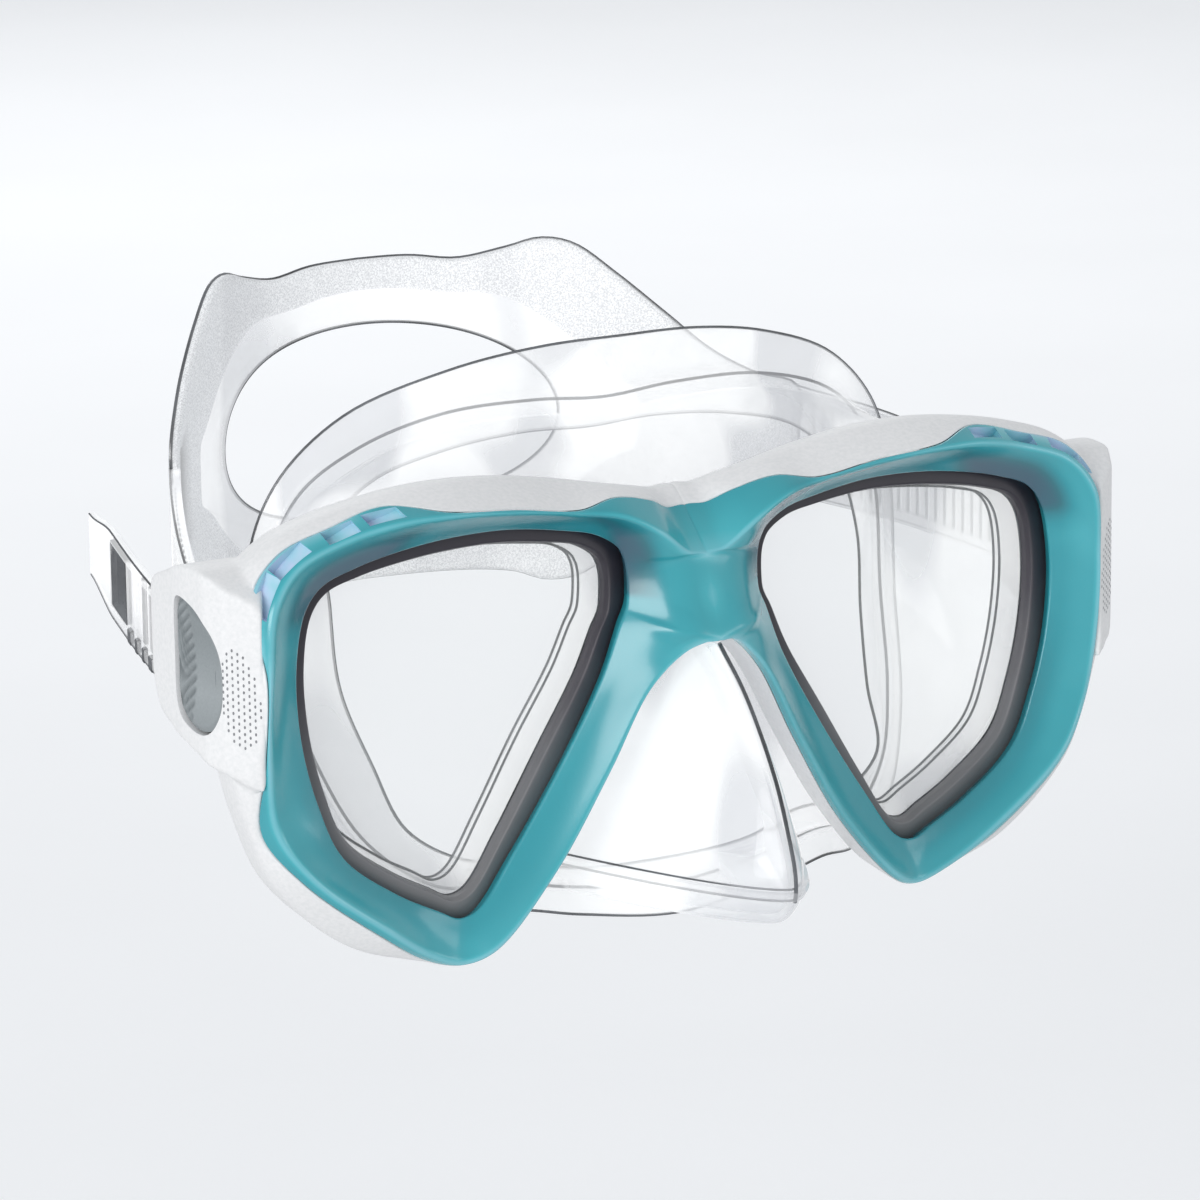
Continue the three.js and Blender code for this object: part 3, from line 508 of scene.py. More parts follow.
def button_rubber():
    made, shader, add, link = material("button_plastic")
    where = place(add)
    # Painted shading: darker in the rib grooves, lighter towards the middle of the smooth front half.
    painted_shading = add("ShaderNodeAttribute", attribute_name="painted_shading").outputs["Fac"]
    grain = ramp(add, noise(add, where, 2600, 2), [(0.3, (0.92, 0.92, 0.92, 1)), (0.7, (1, 1, 1, 1))])
    shade = ramp(add, painted_shading, [
        (0.0, srgb(112, 119, 122)), (0.5, srgb(142, 149, 152)), (1.0, srgb(172, 178, 181)),
    ])
    link(multiply(add, link, grain, shade), shader.inputs["Base Color"])
    settings(shader, Roughness=0.45)
    bump(add, link, shader, noise(add, where, 5000, 2), 0.000008, 0.3)
    return made


def grained(name, size, first, second, **values):
    """A fine grain between two tones, each given as its place on the noise and its colour."""
    made, shader, add, link = material(name)
    link(ramp(add, noise(add, place(add), size), [first, second]), shader.inputs["Base Color"])
    settings(shader, **values)
    return made


def seal_rubber():
    """Dark elastomer round each lens, with painted shade by height: nearly black towards the top, under the
    brow.
    """
    made, shader, add, link = material("seal_rubber")
    where = place(add)
    # Painted shade: the colour darkens with height, towards the brow.
    height = add("ShaderNodeSeparateXYZ", Vector=where).outputs["Z"]
    shade = add("ShaderNodeMapRange", Value=height)
    settings(shade, From_Min=-0.03, From_Max=0.034)
    mottle_and_painted_shade = add("ShaderNodeMath", operation="MULTIPLY_ADD")
    link(noise(add, where, 120), mottle_and_painted_shade.inputs[0])
    mottle_and_painted_shade.inputs[1].default_value = 0.16
    link(shade.outputs["Result"], mottle_and_painted_shade.inputs[2])
    colour = ramp(add, mottle_and_painted_shade.outputs[0], [
        (0.1, srgb(122, 122, 124)), (0.45, srgb(112, 112, 115)),
        (0.75, srgb(66, 63, 70)), (1.0, srgb(38, 34, 44)),
    ])
    link(colour, shader.inputs["Base Color"])
    settings(shader, Roughness=0.42)
    bump(add, link, shader, noise(add, where, 3500), 0.00002, 0.3)
    return made


def pin_steel():
    made, shader, add, link = material("pin_steel")
    where = add("ShaderNodeMapping", Vector=place(add))
    settings(where, Scale=(1, 1, 0.05))
    scratch = noise(add, where.outputs["Vector"], 4000)
    brushed = ramp(add, scratch, [(0.3, (0.5, 0.5, 0.52, 1)), (0.7, (0.72, 0.72, 0.74, 1))])
    link(brushed, shader.inputs["Base Color"])
    settings(shader, Metallic=1.0, Roughness=0.3)
    return made


def clear_glass():
    """Flat tempered glass: what lies behind it shows, with a sheen at a slant."""
    made, shader, add, link = material("clear_glass")
    where = place(add)
    settings(shader, Base_Color=(0.96, 0.985, 0.98, 1), Roughness=0.02, IOR=1.5, Alpha=0.1)
    bump(add, link, shader, noise(add, where, 30), 0.00001, 0.1)
    return made


def clear_silicone(name, body, roughness, grain, grain_size, glow, reflection_and_stipple_colours):
    """Clear silicone: milky and see-through face on, denser where it is seen along its wall, and greyed
    there by painted shade.

    Soft grey streaks of painted reflection lie over a fine stipple, and a faint even painted glow, emitted
    by the silicone itself, stands in for the light that passes through its walls from the far side.
    """
    made, shader, add, link = material(name)
    where = place(add)
    facing = add("ShaderNodeLayerWeight", Blend=0.5).outputs["Facing"]
    upright = add("ShaderNodeMapping", Vector=where)
    settings(upright, Scale=(1, 1, 0.35))
    # Painted reflections: soft grey streaks, stretched upright.
    painted_reflection_streaks = ramp(add, noise(add, upright.outputs["Vector"], 42, 1), [(0.43, reflection_and_stipple_colours[0]), (0.5, reflection_and_stipple_colours[1])])
    stipple = ramp(add, noise(add, where, grain_size, 3), [(0.4, reflection_and_stipple_colours[2]), (0.6, (1, 1, 1, 1))])
    reflections_and_stipple = multiply(add, link, painted_reflection_streaks, stipple)
    # Painted shade: the colour greys towards the outline, where the wall is seen edge on.
    rim = ramp(add, facing, [(0.0, (1, 1, 1, 1)), (0.8, srgb(236, 238, 240)), (0.96, srgb(96, 99, 104))])
    link(multiply(add, link, reflections_and_stipple, rim), shader.inputs["Base Color"])
    alpha = add("ShaderNodeMapRange")
    link(facing, alpha.inputs["Value"])
    settings(alpha, From_Min=0.45, To_Min=body)
    link(alpha.outputs["Result"], shader.inputs["Alpha"])
    # The emission is a painted glow.
    settings(shader, Roughness=roughness, IOR=1.42, Emission_Color=(1, 1, 1, 1), Emission_Strength=glow)
    bump(add, link, shader, noise(add, where, grain_size, 3), grain, 0.6)
    return made


def multiply(add, link, first, second):
    """The product of two colours."""
    node = add("ShaderNodeMix", data_type="RGBA", blend_type="MULTIPLY")
    colours = [socket for socket in node.inputs if socket.type == "RGBA"]
    settings(node, Factor=1.0)
    link(first, colours[0])
    link(second, colours[1])
    return next(socket for socket in node.outputs if socket.type == "RGBA")


TEAL = teal_plastic()
FACET = facet_plastic_painted_light()
WHITE = white_plastic()
GREY = button_rubber()
MARK = grained("dark_mark", 2500, (0.3, srgb(112, 114, 118)), (0.7, srgb(150, 152, 156)), Roughness=0.6)
SEAL_RUBBER = seal_rubber()
ACETAL = grained("dark_acetal", 500, (0.3, srgb(48, 48, 51)), (0.7, srgb(66, 66, 70)), Roughness=0.4)
STEEL = pin_steel()
GLASS = clear_glass()
SILICONE = clear_silicone(
    "silicone_gloss", body=0.34, roughness=0.05, grain=0.00002, grain_size=120, glow=0.27,
    reflection_and_stipple_colours=(srgb(196, 198, 203), srgb(255, 255, 255), srgb(250, 250, 250)),
)
FROSTED = clear_silicone(
    "silicone_frosted", body=0.85, roughness=0.45, grain=0.00004, grain_size=3600, glow=0.2,
    reflection_and_stipple_colours=(srgb(236, 237, 239), srgb(250, 251, 252), srgb(206, 207, 209)),
)
# Painted shade: a dark line along the edge of a clear wall, standing in for the light lost inside the
# silicone.
PAINTED_EDGE_SHADE = grained(
    "silicone_edge_painted_shade", 60, (0.35, srgb(48, 50, 54)), (0.65, srgb(104, 107, 112)), Roughness=0.15, Alpha=0.8,
)


def finish(obj, look, body, slot, *nodes):
    """Gives a new piece its material, its body and the CAD nodes it stands for; the record slot it is given
    is not used.
    """
    if not obj.data.materials:
        obj.data.materials.append(look)
    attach(obj, body)
    if nodes:
        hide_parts(*nodes)
    return obj


# ---- Frame pieces ----
def notch_cutters():
    """Boxes that step down the band at the brow's outer corner."""
    cutters = []
    for i in range(NOTCHES["count"]):
        station = (NOTCHES["first"] + i * NOTCHES["spacing"]) * SPAN_STEPS
        at = int(round(station))
        crest, edge = CREST_LINE[at], EDGE_LINE[at]
        along = unit(CREST_LINE[at + 1] - CREST_LINE[at - 1])
        across = unit(edge - crest)
        out = unit(np.cross(across, along))
        half = np.array([NOTCHES["length"], NOTCHES["width"], NOTCHES["deep"]]) / 2
        centre = crest + NOTCHES["place"] * (edge - crest) + out * (half[2] - NOTCHES["sink"] / 2)
        lean = along * math.cos(NOTCH_LEAN) - out * math.sin(NOTCH_LEAN)
        rise = along * math.sin(NOTCH_LEAN) + out * math.cos(NOTCH_LEAN)
        corners = [
            centre + a * half[0] * lean + b * half[1] * across + c * half[2] * rise
            for c in (-1, 1) for a, b in ((-1, -1), (1, -1), (1, 1), (-1, 1))
        ]
        grid = np.array(corners).reshape(2, 4, 3)
        cutters.append(loft("notch_cutter", grid, rows_closed=False, caps=True))
    return cutters


def front_frame():
    rim, crest, edge = beside_lens(0, 0), CREST_LINE, EDGE_LINE
    back = beside_lens(RIM_GROW, RIM_DEPTH)
    bridge = 1 - smooth_step(np.abs(crest[:, 0]), 1, 13)
    slope = rim + 0.5 * (crest - rim)
    slope[:, 1] += 0.5
    slope[:, 1] += bridge * (0.96 * crest[:, 1] - slope[:, 1])
    ridge_radius = (1.3 - 0.8 * bridge)[:, None]
    grid = rounded([rim, slope, crest, edge, back], [0.5, 4.0, ridge_radius, 0.5, 0.3], steps=7)
    obj = loft("teal_front_frame", grid)
    obj.data.materials.append(TEAL)
    for cutter in notch_cutters():
        cutter.data.materials.append(FACET)
        boolean(obj, cutter, "DIFFERENCE", material_mode="TRANSFER")
    join_halves(obj)
    place_painted_shading(obj)
    return finish(soften(obj, 50), TEAL, "frame", "teal_frame", "front_frame")


def place_painted_shading(obj):
    """Painted shading for the translucent plastic: painted shade deep in the funnel and under the brow, a
    painted highlight on its crest, and a lighter outer band with a painted highlight at the brow's outer
    corner.
    """
    points = vertices(obj)
    points[:, 0] = np.abs(points[:, 0])
    opening, ridge = nearest(LENS_LINE, points, (1, 0, 1)), nearest(CREST_LINE, points, (1, 1, 1))
    outside = 1 - smooth_step(nearest(EDGE_LINE, points, (1, 1, 1)) - ridge, -1.2, 1.2)
    # Painted shade deep in the funnel near the opening and under the brow.
    under_brow = smooth_step(points[:, 2], 12, 32) * (1 - smooth_step(opening, 2, 6.5))
    funnel = 0.38 + 0.2 * smooth_step(opening, 0.5, 5.5) - 0.36 * under_brow
    # Painted highlight on the outer band at the brow's outer corner.
    corner = smooth_step(points[:, 0], 56, 66) * smooth_step(points[:, 2], 14, 24)
    band = 0.52 + 0.34 * corner
    # Painted highlight along the crest.
    crest = 0.26 * (1 - smooth_step(ridge, 0.2, 1.3))
    paint(obj, "painted_shading", funnel + outside * (band - funnel) + crest)


def nearest(line, points, axes):
    """The distance from each point to a guiding line, along the given axes."""
    reach = [np.min(np.linalg.norm((line - point) * axes, axis=1)) for point in points]
    return np.array(reach)


def smooth_outline(points, per_span=6):
    flat = [(a, b, 0) for a, b in points]
    return spline(flat, per_span, closed=True)[:, :2]


def button_outline(grow):
    line = smooth_outline(BUTTON_OUTLINE)
    away = unit(line - np.array(BUTTON_CENTRE))
    return line + away * grow


def rear_frame():
    """The white rear frame and the buckle housings, one moulding."""
    inner_back = beside_lens(CHASSIS["grow"], CHASSIS["back"])
    shell_back = SHELL_LINE.copy()
    shell_back[:, 1] = inner_back[:, 1]
    shell_back += unit((inner_back - shell_back) * (1, 0, 1)) * SHELL_DRAFT
    corners = [beside_lens(CHASSIS["grow"], CHASSIS["front"]), EDGE_LINE, SHELL_LINE, shell_back, inner_back]
    ring = loft("rear_ring", rounded(corners, [0.3, 0.5, 1.6, 1.2, 0.5]))
    housing = housing_end(ring)
    for part in (ring, housing):
        recess = prism("button_recess", button_outline(BUTTON_GAP), RECESS["floor"], FAR_OUT, "X")
        boolean(part, recess, "DIFFERENCE")
        front = prism("front_recess", button_outline(BUTTON_GAP), RECESS["front_floor"], FAR_OUT, "X")
        reach = block("front_reach", (80, -10, -10), (96, RECESS["front_end"], 50))
        boolean(part, boolean(front, reach, "INTERSECT"), "DIFFERENCE")
        boolean(part, block("strap_mouth", *MOUTH), "DIFFERENCE")
        boolean(part, block("strap_cavity", *CAVITY), "DIFFERENCE")
    obj = join_halves(joined("white_rear_frame", [ring, housing]))
    return finish(soften(obj, 35), WHITE, "frame", "white_frame", "rear_frame")


def housing_end(ring):
    """The ring's outer end with the buckle housing, softened where the two flow together."""
    end = duplicate("housing_end", ring)
    side = prism("housing_side", smooth_outline(HOUSING_SIDE), 75, FAR_OUT, "X")
    plan = prism("housing_plan", HOUSING_PLAN, -10, 50, "Z")
    boolean(end, boolean(side, plan, "INTERSECT"), "UNION")
    remesh = end.modifiers.new("remesh", "REMESH")
    remesh.mode = "VOXEL"
    remesh.voxel_size = SOFTENING["voxel"] * MM
    smooth = end.modifiers.new("smooth", "SMOOTH")
    smooth.factor = 0.5
    smooth.iterations = SOFTENING["passes"]
    settle(end)
    fade_low_corner(end)
    return boolean(end, block("outer_end", (HOUSING_FROM, -30, -60), (100, 40, 60)), "INTERSECT")


def fade_low_corner(obj):
    """Wears the housing's lower front corner down until it flows into the frame below."""
    points = vertices(obj)
    weights = 1 - smooth_step(points[:, 2] + 0.5 * points[:, 1], -1, 7)
    group = obj.vertex_groups.new(name="low_corner")
    for index in np.flatnonzero(weights > 0.01):
        group.add([int(index)], float(weights[index]), "REPLACE")
    smooth = obj.modifiers.new("fade", "SMOOTH")
    smooth.factor = 0.5
    smooth.iterations = SOFTENING["corner_passes"]
    smooth.vertex_group = "low_corner"
    settle(obj)
    obj.vertex_groups.clear()


def vent_dots(rear, side):
    """Small dark ovals in staggered columns on the temple, in front of the button."""
    tree = BVHTree.FromObject(rear, bpy.context.evaluated_depsgraph_get())
    points, faces = [], []
    turns = np.linspace(0, 2 * math.pi, DOTS["corners"], endpoint=False)
    for column in range(DOTS["columns"]):
        y = DOTS["front"] + column * DOTS["column_pitch"]
        for row in range(DOTS["rows"]):
            z = DOTS["bottom"] + (row + column % 2 / 2) * DOTS["row_pitch"]
            if not dot_shown(y, z):
                continue
            start = Vector((side * 120, y, z)) * MM
            hit, normal, _, _ = tree.ray_cast(start, Vector((-side, 0, 0)))
            across = normal.cross(Vector((0, 0, 1))).normalized()
            up = across.cross(normal)
            centre = hit / MM + normal * 0.04
            first = len(points)
            for turn in turns:
                oval = across * DOTS["width"] * math.cos(turn) + up * DOTS["height"] * math.sin(turn)
                points.append(centre + oval / 2)
            faces.append(tuple(range(first, len(points))))
    obj = new_object(f"vent_dots_{'l' if side > 0 else 'r'}", [tuple(p) for p in points], faces)
    return finish(obj, MARK, "frame", "grey_button")


def dot_shown(y, z):
    """The patch of dots is a slanted lens shape."""
    return ((y + 0.5 - 0.06 * (z - 14)) / 2.1) ** 2 + ((z - 14) / 8.4) ** 2 < 1.0


def lens_seals():
    corners = [
        beside_lens(SEAL["outer"], SEAL["front"]), beside_lens(SEAL["inner"] + 0.5, SEAL["front"] - 0.9),
        beside_lens(SEAL["inner"], SEAL["front"] + 0.2), beside_lens(SEAL["inner"], SEAL["back"]),
        beside_lens(SEAL["outer"], SEAL["back"]),
    ]
    left = soften(loft("lens_seal_band_l", rounded(corners, [0.1, 0.3, 0.2, 0.2, 0.1])), 40)
    right = flipped("lens_seal_band_r", left)
    finish(left, SEAL_RUBBER, "frame", "dark_seal", "lens_seal_l")
    finish(right, SEAL_RUBBER, "frame", "dark_seal", "lens_seal_r")


def buttons():
    """Half-oval pads: the front half is smooth and hollowed, the rear half has slanting ribs."""
    outline = button_outline(0)
    rings = 34
    centre = np.array(BUTTON_CENTRE)
    grid = []
    for i in range(rings + 1):
        share = 1 - i / rings
        flat = centre + (outline - centre) * share
        grid.append(np.hstack([button_height(flat, share)[:, None], flat]))
    base = np.hstack([(button_face(outline[:, 0]) - BUTTON_THICK)[:, None], outline])
    left = soften(loft("push_button_l", np.stack([base] + grid), rows_closed=False), 60)
    points = vertices(left)
    paint(left, "painted_shading", button_painted_shading(points[:, 1], points[:, 2]))
    right = flipped("push_button_r", left)
    finish(left, GREY, "button_l", "grey_button", "button_l")
    finish(right, GREY, "button_r", "grey_button", "button_r")


def button_face(depth):
    """How far out the pad's face lies, from front to rear."""
    plan = spline([(x, y, 0) for x, y in BUTTON_PLAN], 10)
    return np.interp(depth, plan[:, 1], plan[:, 0]) - BUTTON_SINK


def button_ribs(y, z):
    """Where the ribbed rear half is (0 to 1), and the ribs' wave (-1 to 1)."""
    split = 7.8 + 0.02 * (z - 18) ** 2
    return smooth_step(y, split - 0.4, split + 0.4), np.sin(2 * math.pi * (0.75 * y + z) / RIBS["pitch"])


def button_painted_shading(y, z):
    """Painted shade in the grooves between the ribs, and a painted highlight that brightens the smooth front
    half towards its middle.
    """
    rear, wave = button_ribs(y, z)
    front = 0.75 - 0.35 * np.clip(np.abs(z - 14) / 10, 0, 1)
    return rear * (0.35 + 0.3 * wave) + (1 - rear) * front


def button_height(flat, share):
    """How far out each point of the pad lies."""
    y, z = flat[:, 0], flat[:, 1]
    rear, wave = button_ribs(y, z)
    ribs = RIBS["height"] * wave - 0.2
    hollow = -0.9 * np.clip(1 - ((y - 4.8) / 3.6) ** 2, 0, 1) * np.clip(1 - ((z - 17) / 9.5) ** 2, 0, 1)
    edge = 0.5 * smooth_step(np.full_like(y, share), 0.9, 1.0)
    return button_face(y) - edge + (1 - rear) * hollow + rear * ribs * (share < 0.94)


def add_path(curve, line, closed=True):
    path = curve.splines.new("POLY")
    path.points.add(len(line) - 1)
    path.use_cyclic_u = closed
    for point, (x, y, z) in zip(path.points, line):
        point.co = (x * MM, y * MM, z * MM, 1)


def curve_mesh(name, curve):
    """An object with the mesh that a curve makes."""
    drawn = add_object(f"{name}_curve", curve)
    mesh = evaluated_mesh(drawn)
    remove(drawn)
    mesh.materials.clear()
    return add_object(name, mesh)


def bead(name, line, radius, body, closed=True, look=None):
    """A thin round bead that follows a line, dark unless given a look: a painted shade line along a clear
    edge.
    """
    curve = bpy.data.curves.new(name, "CURVE")
    curve.dimensions = "3D"
    curve.bevel_depth = radius * MM
    curve.bevel_resolution = 2
    add_path(curve, line, closed)
    return finish(soften(curve_mesh(name, curve)), look or PAINTED_EDGE_SHADE, body, "clear_silicone")


# ---- Face skirt ----
def skirt_line(key):
    half = [np.array(section[key], float) for section in SKIRT_SECTIONS]
    other = [point * (-1, 1, 1) for point in half[-2:0:-1]]
    return spline(half + other, 8, closed=True)


def inwards(line, distance):
    return line + unit((SKIRT_CENTRE - line) * (1, 0, 1)) * distance


def skirt():
    root, shoulder, mid, lip, inner = (skirt_line(key) for key in SKIRT_KEYS)
    behind = mid + (0, SKIRT_WALL, 0)
    corners = [
        root, shoulder, mid, lip, lip + (0, 0.7, 0), behind, inner, inner - (0, 0.7, 0),
        inwards(mid, 1.4) - (0, 1, 0), inwards(shoulder, SKIRT_WALL), inwards(root, SKIRT_WALL),
    ]
    grid = rounded(corners, [0.8, 6, 2.5, 0.3, 0.3, 3, 0.3, 0.3, 3, 6, 0.8], steps=5)
    wall = soften(loft("skirt_wall", grid), 50)
    finish(wall, SILICONE, "frame", "clear_silicone", "skirt")
    # Dark beads: painted shade lines along the skirt's lip, ridge and inner edge.
    bead("skirt_lip_edge", lip + (0, 0.3, 0), 0.25, "frame")
    bead("skirt_ridge_edge", mid, 0.28, "frame")
    bead("skirt_inner_edge", inner - (0, 0.3, 0), 0.28, "frame")
    nose_pocket()
    lens_collars()
    skirt_web(root)


def skirt_web(root):
    """The thin wall that joins the skirt, the two lens collars and the nose pocket."""
    lens = beside_lens(COLLAR["outer"], 0)[:, [0, 2]]
    levels = spline([(half, z, 0) for z, _, half in NOSE_SECTIONS[:WEB["nose_levels"]]], 6)[:, :2]
    nose = np.vstack([levels, levels[::-1] * (-1, 1)])
    outline = inwards(root, WEB["inset"])[:, [0, 2]]
    curve = bpy.data.curves.new("skirt_web", "CURVE")
    curve.dimensions = "2D"
    curve.fill_mode = "BOTH"
    curve.extrude = WEB["thick"] / 2 * MM
    for line in (outline, lens, lens * (-1, 1), nose):
        add_path(curve, np.hstack([line, np.zeros((len(line), 1))]))
    obj = curve_mesh("skirt_web", curve)
    obj.data.transform(Matrix.Translation((0, WEB["depth"] * MM, 0)) @ Matrix.Rotation(math.pi / 2, 4, "X"))
    finish(obj, SILICONE, "frame", "clear_silicone")


def nose_pocket():
    """A wedge with a rounded ridge, flat cheeks and a rolled rim under its floor."""
    levels = spline([(z, ridge, half) for z, ridge, half in NOSE_SECTIONS], 8)
    across = np.linspace(-1, 1, 61)
    grid = []
    for z, ridge, half in levels:
        bulge = 1 - np.abs(across) ** 1.5
        y = NOSE_REAR + (ridge - NOSE_REAR) * bulge
        grid.append(np.stack([half * across, y, np.full_like(y, z)], axis=1))
    grid = np.array(grid)
    obj = loft("nose_pocket", grid, rows_closed=False, columns_closed=False)
    thick = obj.modifiers.new("wall", "SOLIDIFY")
    thick.thickness = SKIRT_WALL * MM
    thick.offset = -1
    settle(obj)
    finish(soften(obj, 50), SILICONE, "frame", "clear_silicone")
    middle = grid[:, len(across) // 2]
    rim = grid[np.argmax(middle[:, 1] < NOSE_TIP) + 6]
    bead("nose_rim", rim + (0, 0, -0.6), 0.9, "frame", closed=False, look=SILICONE)
    # Dark beads: painted shade lines along the rim's edge, its underside and the ridge.
    bead("nose_rim_edge", rim + (0, 0.4, 0.6), 0.2, "frame", closed=False)
    bead("nose_rim_underside", rim + (0, 0.5, -1.3), 0.22, "frame", closed=False)
    bead("nose_ridge_edge", middle[:40] + (0.5, -0.1, 0), 0.35, "frame", closed=False)


def lens_collars():
    """The clear lip of the skirt that holds each lens from behind."""
    corners = [
        beside_lens(COLLAR["outer"], COLLAR["front"]), beside_lens(COLLAR["inner"], COLLAR["front"] + 0.8),
        beside_lens(COLLAR["inner"], COLLAR["back"]), beside_lens(COLLAR["outer"], COLLAR["back"]),
    ]
    left = soften(loft("lens_collar_l", rounded(corners, [0.3, 0.8, 0.8, 0.3])), 40)
    right = flipped("lens_collar_r", left)
    finish(left, SILICONE, "frame", "clear_silicone")
    finish(right, SILICONE, "frame", "clear_silicone")
    # Dark beads below: painted shade lines along the collars' edges and the seal's edge.
    seal_edge = beside_lens(SEAL["inner"] + 0.1, SEAL["back"] + 0.2)
    lines = {"front": corners[1], "back": corners[2], "seal": seal_edge}
    for name, line in lines.items():
        for side, sign in (("l", 1), ("r", -1)):
            bead(f"lens_collar_{name}_edge_{side}", line * (sign, 1, 1), 0.22, "frame")


# ---- Strap ----
def strap_centre_line():
    half = [np.array([x, y, 0.0]) for x, y in STRAP_PLAN]
    other = [point * (-1, 1, 1) for point in half[:0:-1]]
    return spline(other + half, 40)


STRAP_LINE = strap_centre_line()
STRAP_LENGTHS = lengths_along(STRAP_LINE)
STRAP_HALF = STRAP_LENGTHS[-1] / 2


def on_strap(along, height, depth):
    """Points at a distance along the strap from its middle, at a height and a depth in its thickness."""
    distance = np.clip(np.asarray(along, float) + STRAP_HALF, 0, 2 * STRAP_HALF)
    x = np.interp(distance, STRAP_LENGTHS, STRAP_LINE[:, 0])
    y = np.interp(distance, STRAP_LENGTHS, STRAP_LINE[:, 1])
    tangent = np.gradient(STRAP_LINE[:, :2], STRAP_LENGTHS, axis=0)
    tx = np.interp(distance, STRAP_LENGTHS, tangent[:, 0])
    ty = np.interp(distance, STRAP_LENGTHS, tangent[:, 1])
    size = np.hypot(tx, ty)
    across, back = x + depth * ty / size, y - depth * tx / size
    return np.stack([across, back, np.broadcast_to(height, x.shape)], axis=-1)


def panel_outline():
    """The rear panel's outline, once round, as distance along the strap and height."""
    def side(pairs):
        return spline([(a, h, 0) for a, h in [(PANEL_END, 27)] + pairs], 12)[:, :2]

    upper, lower = side(PANEL_TOP), side(PANEL_BOTTOM)
    mirror = np.array([-1, 1])
    loop = [upper[:-1], (upper[::-1] * mirror)[:-1], (lower * mirror)[:-1], lower[::-1][:-1]]
    return [even_points(part, 60) for part in loop]


def even_points(line, count):
    lengths = lengths_along(line)
    at = np.linspace(0, lengths[-1], count)
    return np.stack([np.interp(at, lengths, line[:, k]) for k in (0, 1)], axis=1)


def strap_back():
    """The split panel behind the head: a matt band, and a glossy bevel round its opening."""
    quarters = panel_outline()
    outer, hole = [], []
    for index, part in enumerate(quarters):
        outer.append(part)
        angle = (index + np.linspace(0, 1, len(part), endpoint=False)) * math.pi / 2
        across, up = PANEL_HOLE[0] * np.cos(angle), PANEL_MIDDLE + PANEL_HOLE[1] * np.sin(angle)
        hole.append(np.stack([across, up], axis=1))
    outer, hole = np.vstack(outer), np.vstack(hole)
    band = np.linalg.norm(hole - outer, axis=1, keepdims=True)
    bevel = np.clip(4.5 / band, 0, 0.5)
    half = STRAP_THICK / 2
    steps = [(0.0, 0.4), (0.02, 0.8), (0.05, 1.0)] + [(share, 1.0) for share in (0.25, 0.5, 0.75)]
    grid = []
    for face in (1, -1):
        rows = []
        for share, lift in steps:
            flat = outer + (hole - outer) * (1 - bevel) * share
            rows.append(on_strap(flat[:, 0], flat[:, 1], face * half * lift))
        for share, lift in ((0.0, 1.0), (0.15, 0.72), (0.9, 0.4), (1.0, 0.2)):
            flat = outer + (hole - outer) * ((1 - bevel) + bevel * share)
            rows.append(on_strap(flat[:, 0], flat[:, 1], face * half * lift))
        grid.extend(rows if face > 0 else rows[::-1])
    grid = np.stack(grid, axis=1)
    obj = loft("strap_panel", grid)
    obj.data.materials.append(FROSTED)
    obj.data.materials.append(SILICONE)
    columns = grid.shape[1]
    first_bevel = len(steps)
    for face in obj.data.polygons:
        across = face.index % columns
        face.material_index = 1 if first_bevel - 1 <= across <= columns - 1 - first_bevel else 0
    finish(soften(obj, 30), FROSTED, "strap_back", "clear_silicone", "strap_back")
    # Dark beads: painted shade lines round the panel's outline and its opening.
    bead("strap_panel_edge", on_strap(outer[:, 0], outer[:, 1], -0.6), 0.3, "strap_back")
    bead("strap_opening_edge", on_strap(hole[:, 0], hole[:, 1], 0.0), 0.3, "strap_back")


def run_edges(along):
    top = spline([(a, h, 0) for a, h in RUN_TOP], 20)
    bottom = spline([(a, h, 0) for a, h in RUN_BOTTOM], 20)
    return np.interp(along, top[:, 0], top[:, 1]), np.interp(along, bottom[:, 0], bottom[:, 1])


def strip(name, along, low, high, inner, outer, radius=0.25):
    """A band along the strap between two heights and two depths."""
    corners = [
        on_strap(along, low, inner), on_strap(along, low, outer),
        on_strap(along, high, outer), on_strap(along, high, inner),
    ]
    return loft(name, rounded(corners, [radius] * 4, steps=3), rows_closed=False, caps=True)


def joined(name, parts):
    """Several meshes as one object."""
    points, faces = [], []
    for part in parts:
        first = len(points)
        points.extend(vertices(part).tolist())
        faces.extend([tuple(first + index for index in face.vertices) for face in part.data.polygons])
    remove(*parts)
    return new_object(name, points, faces)


def side_run():
    """The ribbed band from the rear panel to the buckle: two rails, a thin web and upright ribs."""
    end = STRAP_HALF
    along = np.linspace(PANEL_END - 0.4, end, 60)
    top, bottom = run_edges(along)
    half = STRAP_THICK / 2
    clear = [
        strip("web", along, bottom + 0.3, top - 0.3, 0.1, half, 0.1),
        strip("rail", along, top - 2.4, top, -half, half),
        strip("rail", along, bottom, bottom + 2.4, -half, half),
    ]
    # Painted shade: dark lines along the rails' inner edges, and dark strips in the grooves between the
    # ribs.
    dark = [
        strip("edge", along, top - 0.2, top + 0.15, -half, -half + 0.4, 0.1),
        strip("edge", along, bottom - 0.15, bottom + 0.2, -half, -half + 0.4, 0.1),
    ]
    for centre in np.arange(PANEL_END + 3, end - 1, RIB_PITCH):
        rib = centre + np.linspace(-0.35, 0.35, 3)
        groove = centre + 0.4 * RIB_PITCH + np.linspace(-0.2, 0.2, 3)
        for parts, place_along, inner in ((clear, rib, -half), (dark, groove, -0.1)):
            high, low = run_edges(place_along)
            parts.append(strip("rib", place_along, low + 2, high - 2, inner, 0.3, 0.1))
    left = two_looks("strap_side_l", clear, dark)
    right = flipped("strap_side_r", left)
    for obj, side in ((left, "l"), (right, "r")):
        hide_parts(f"strap_run_{side}")
        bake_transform(obj)


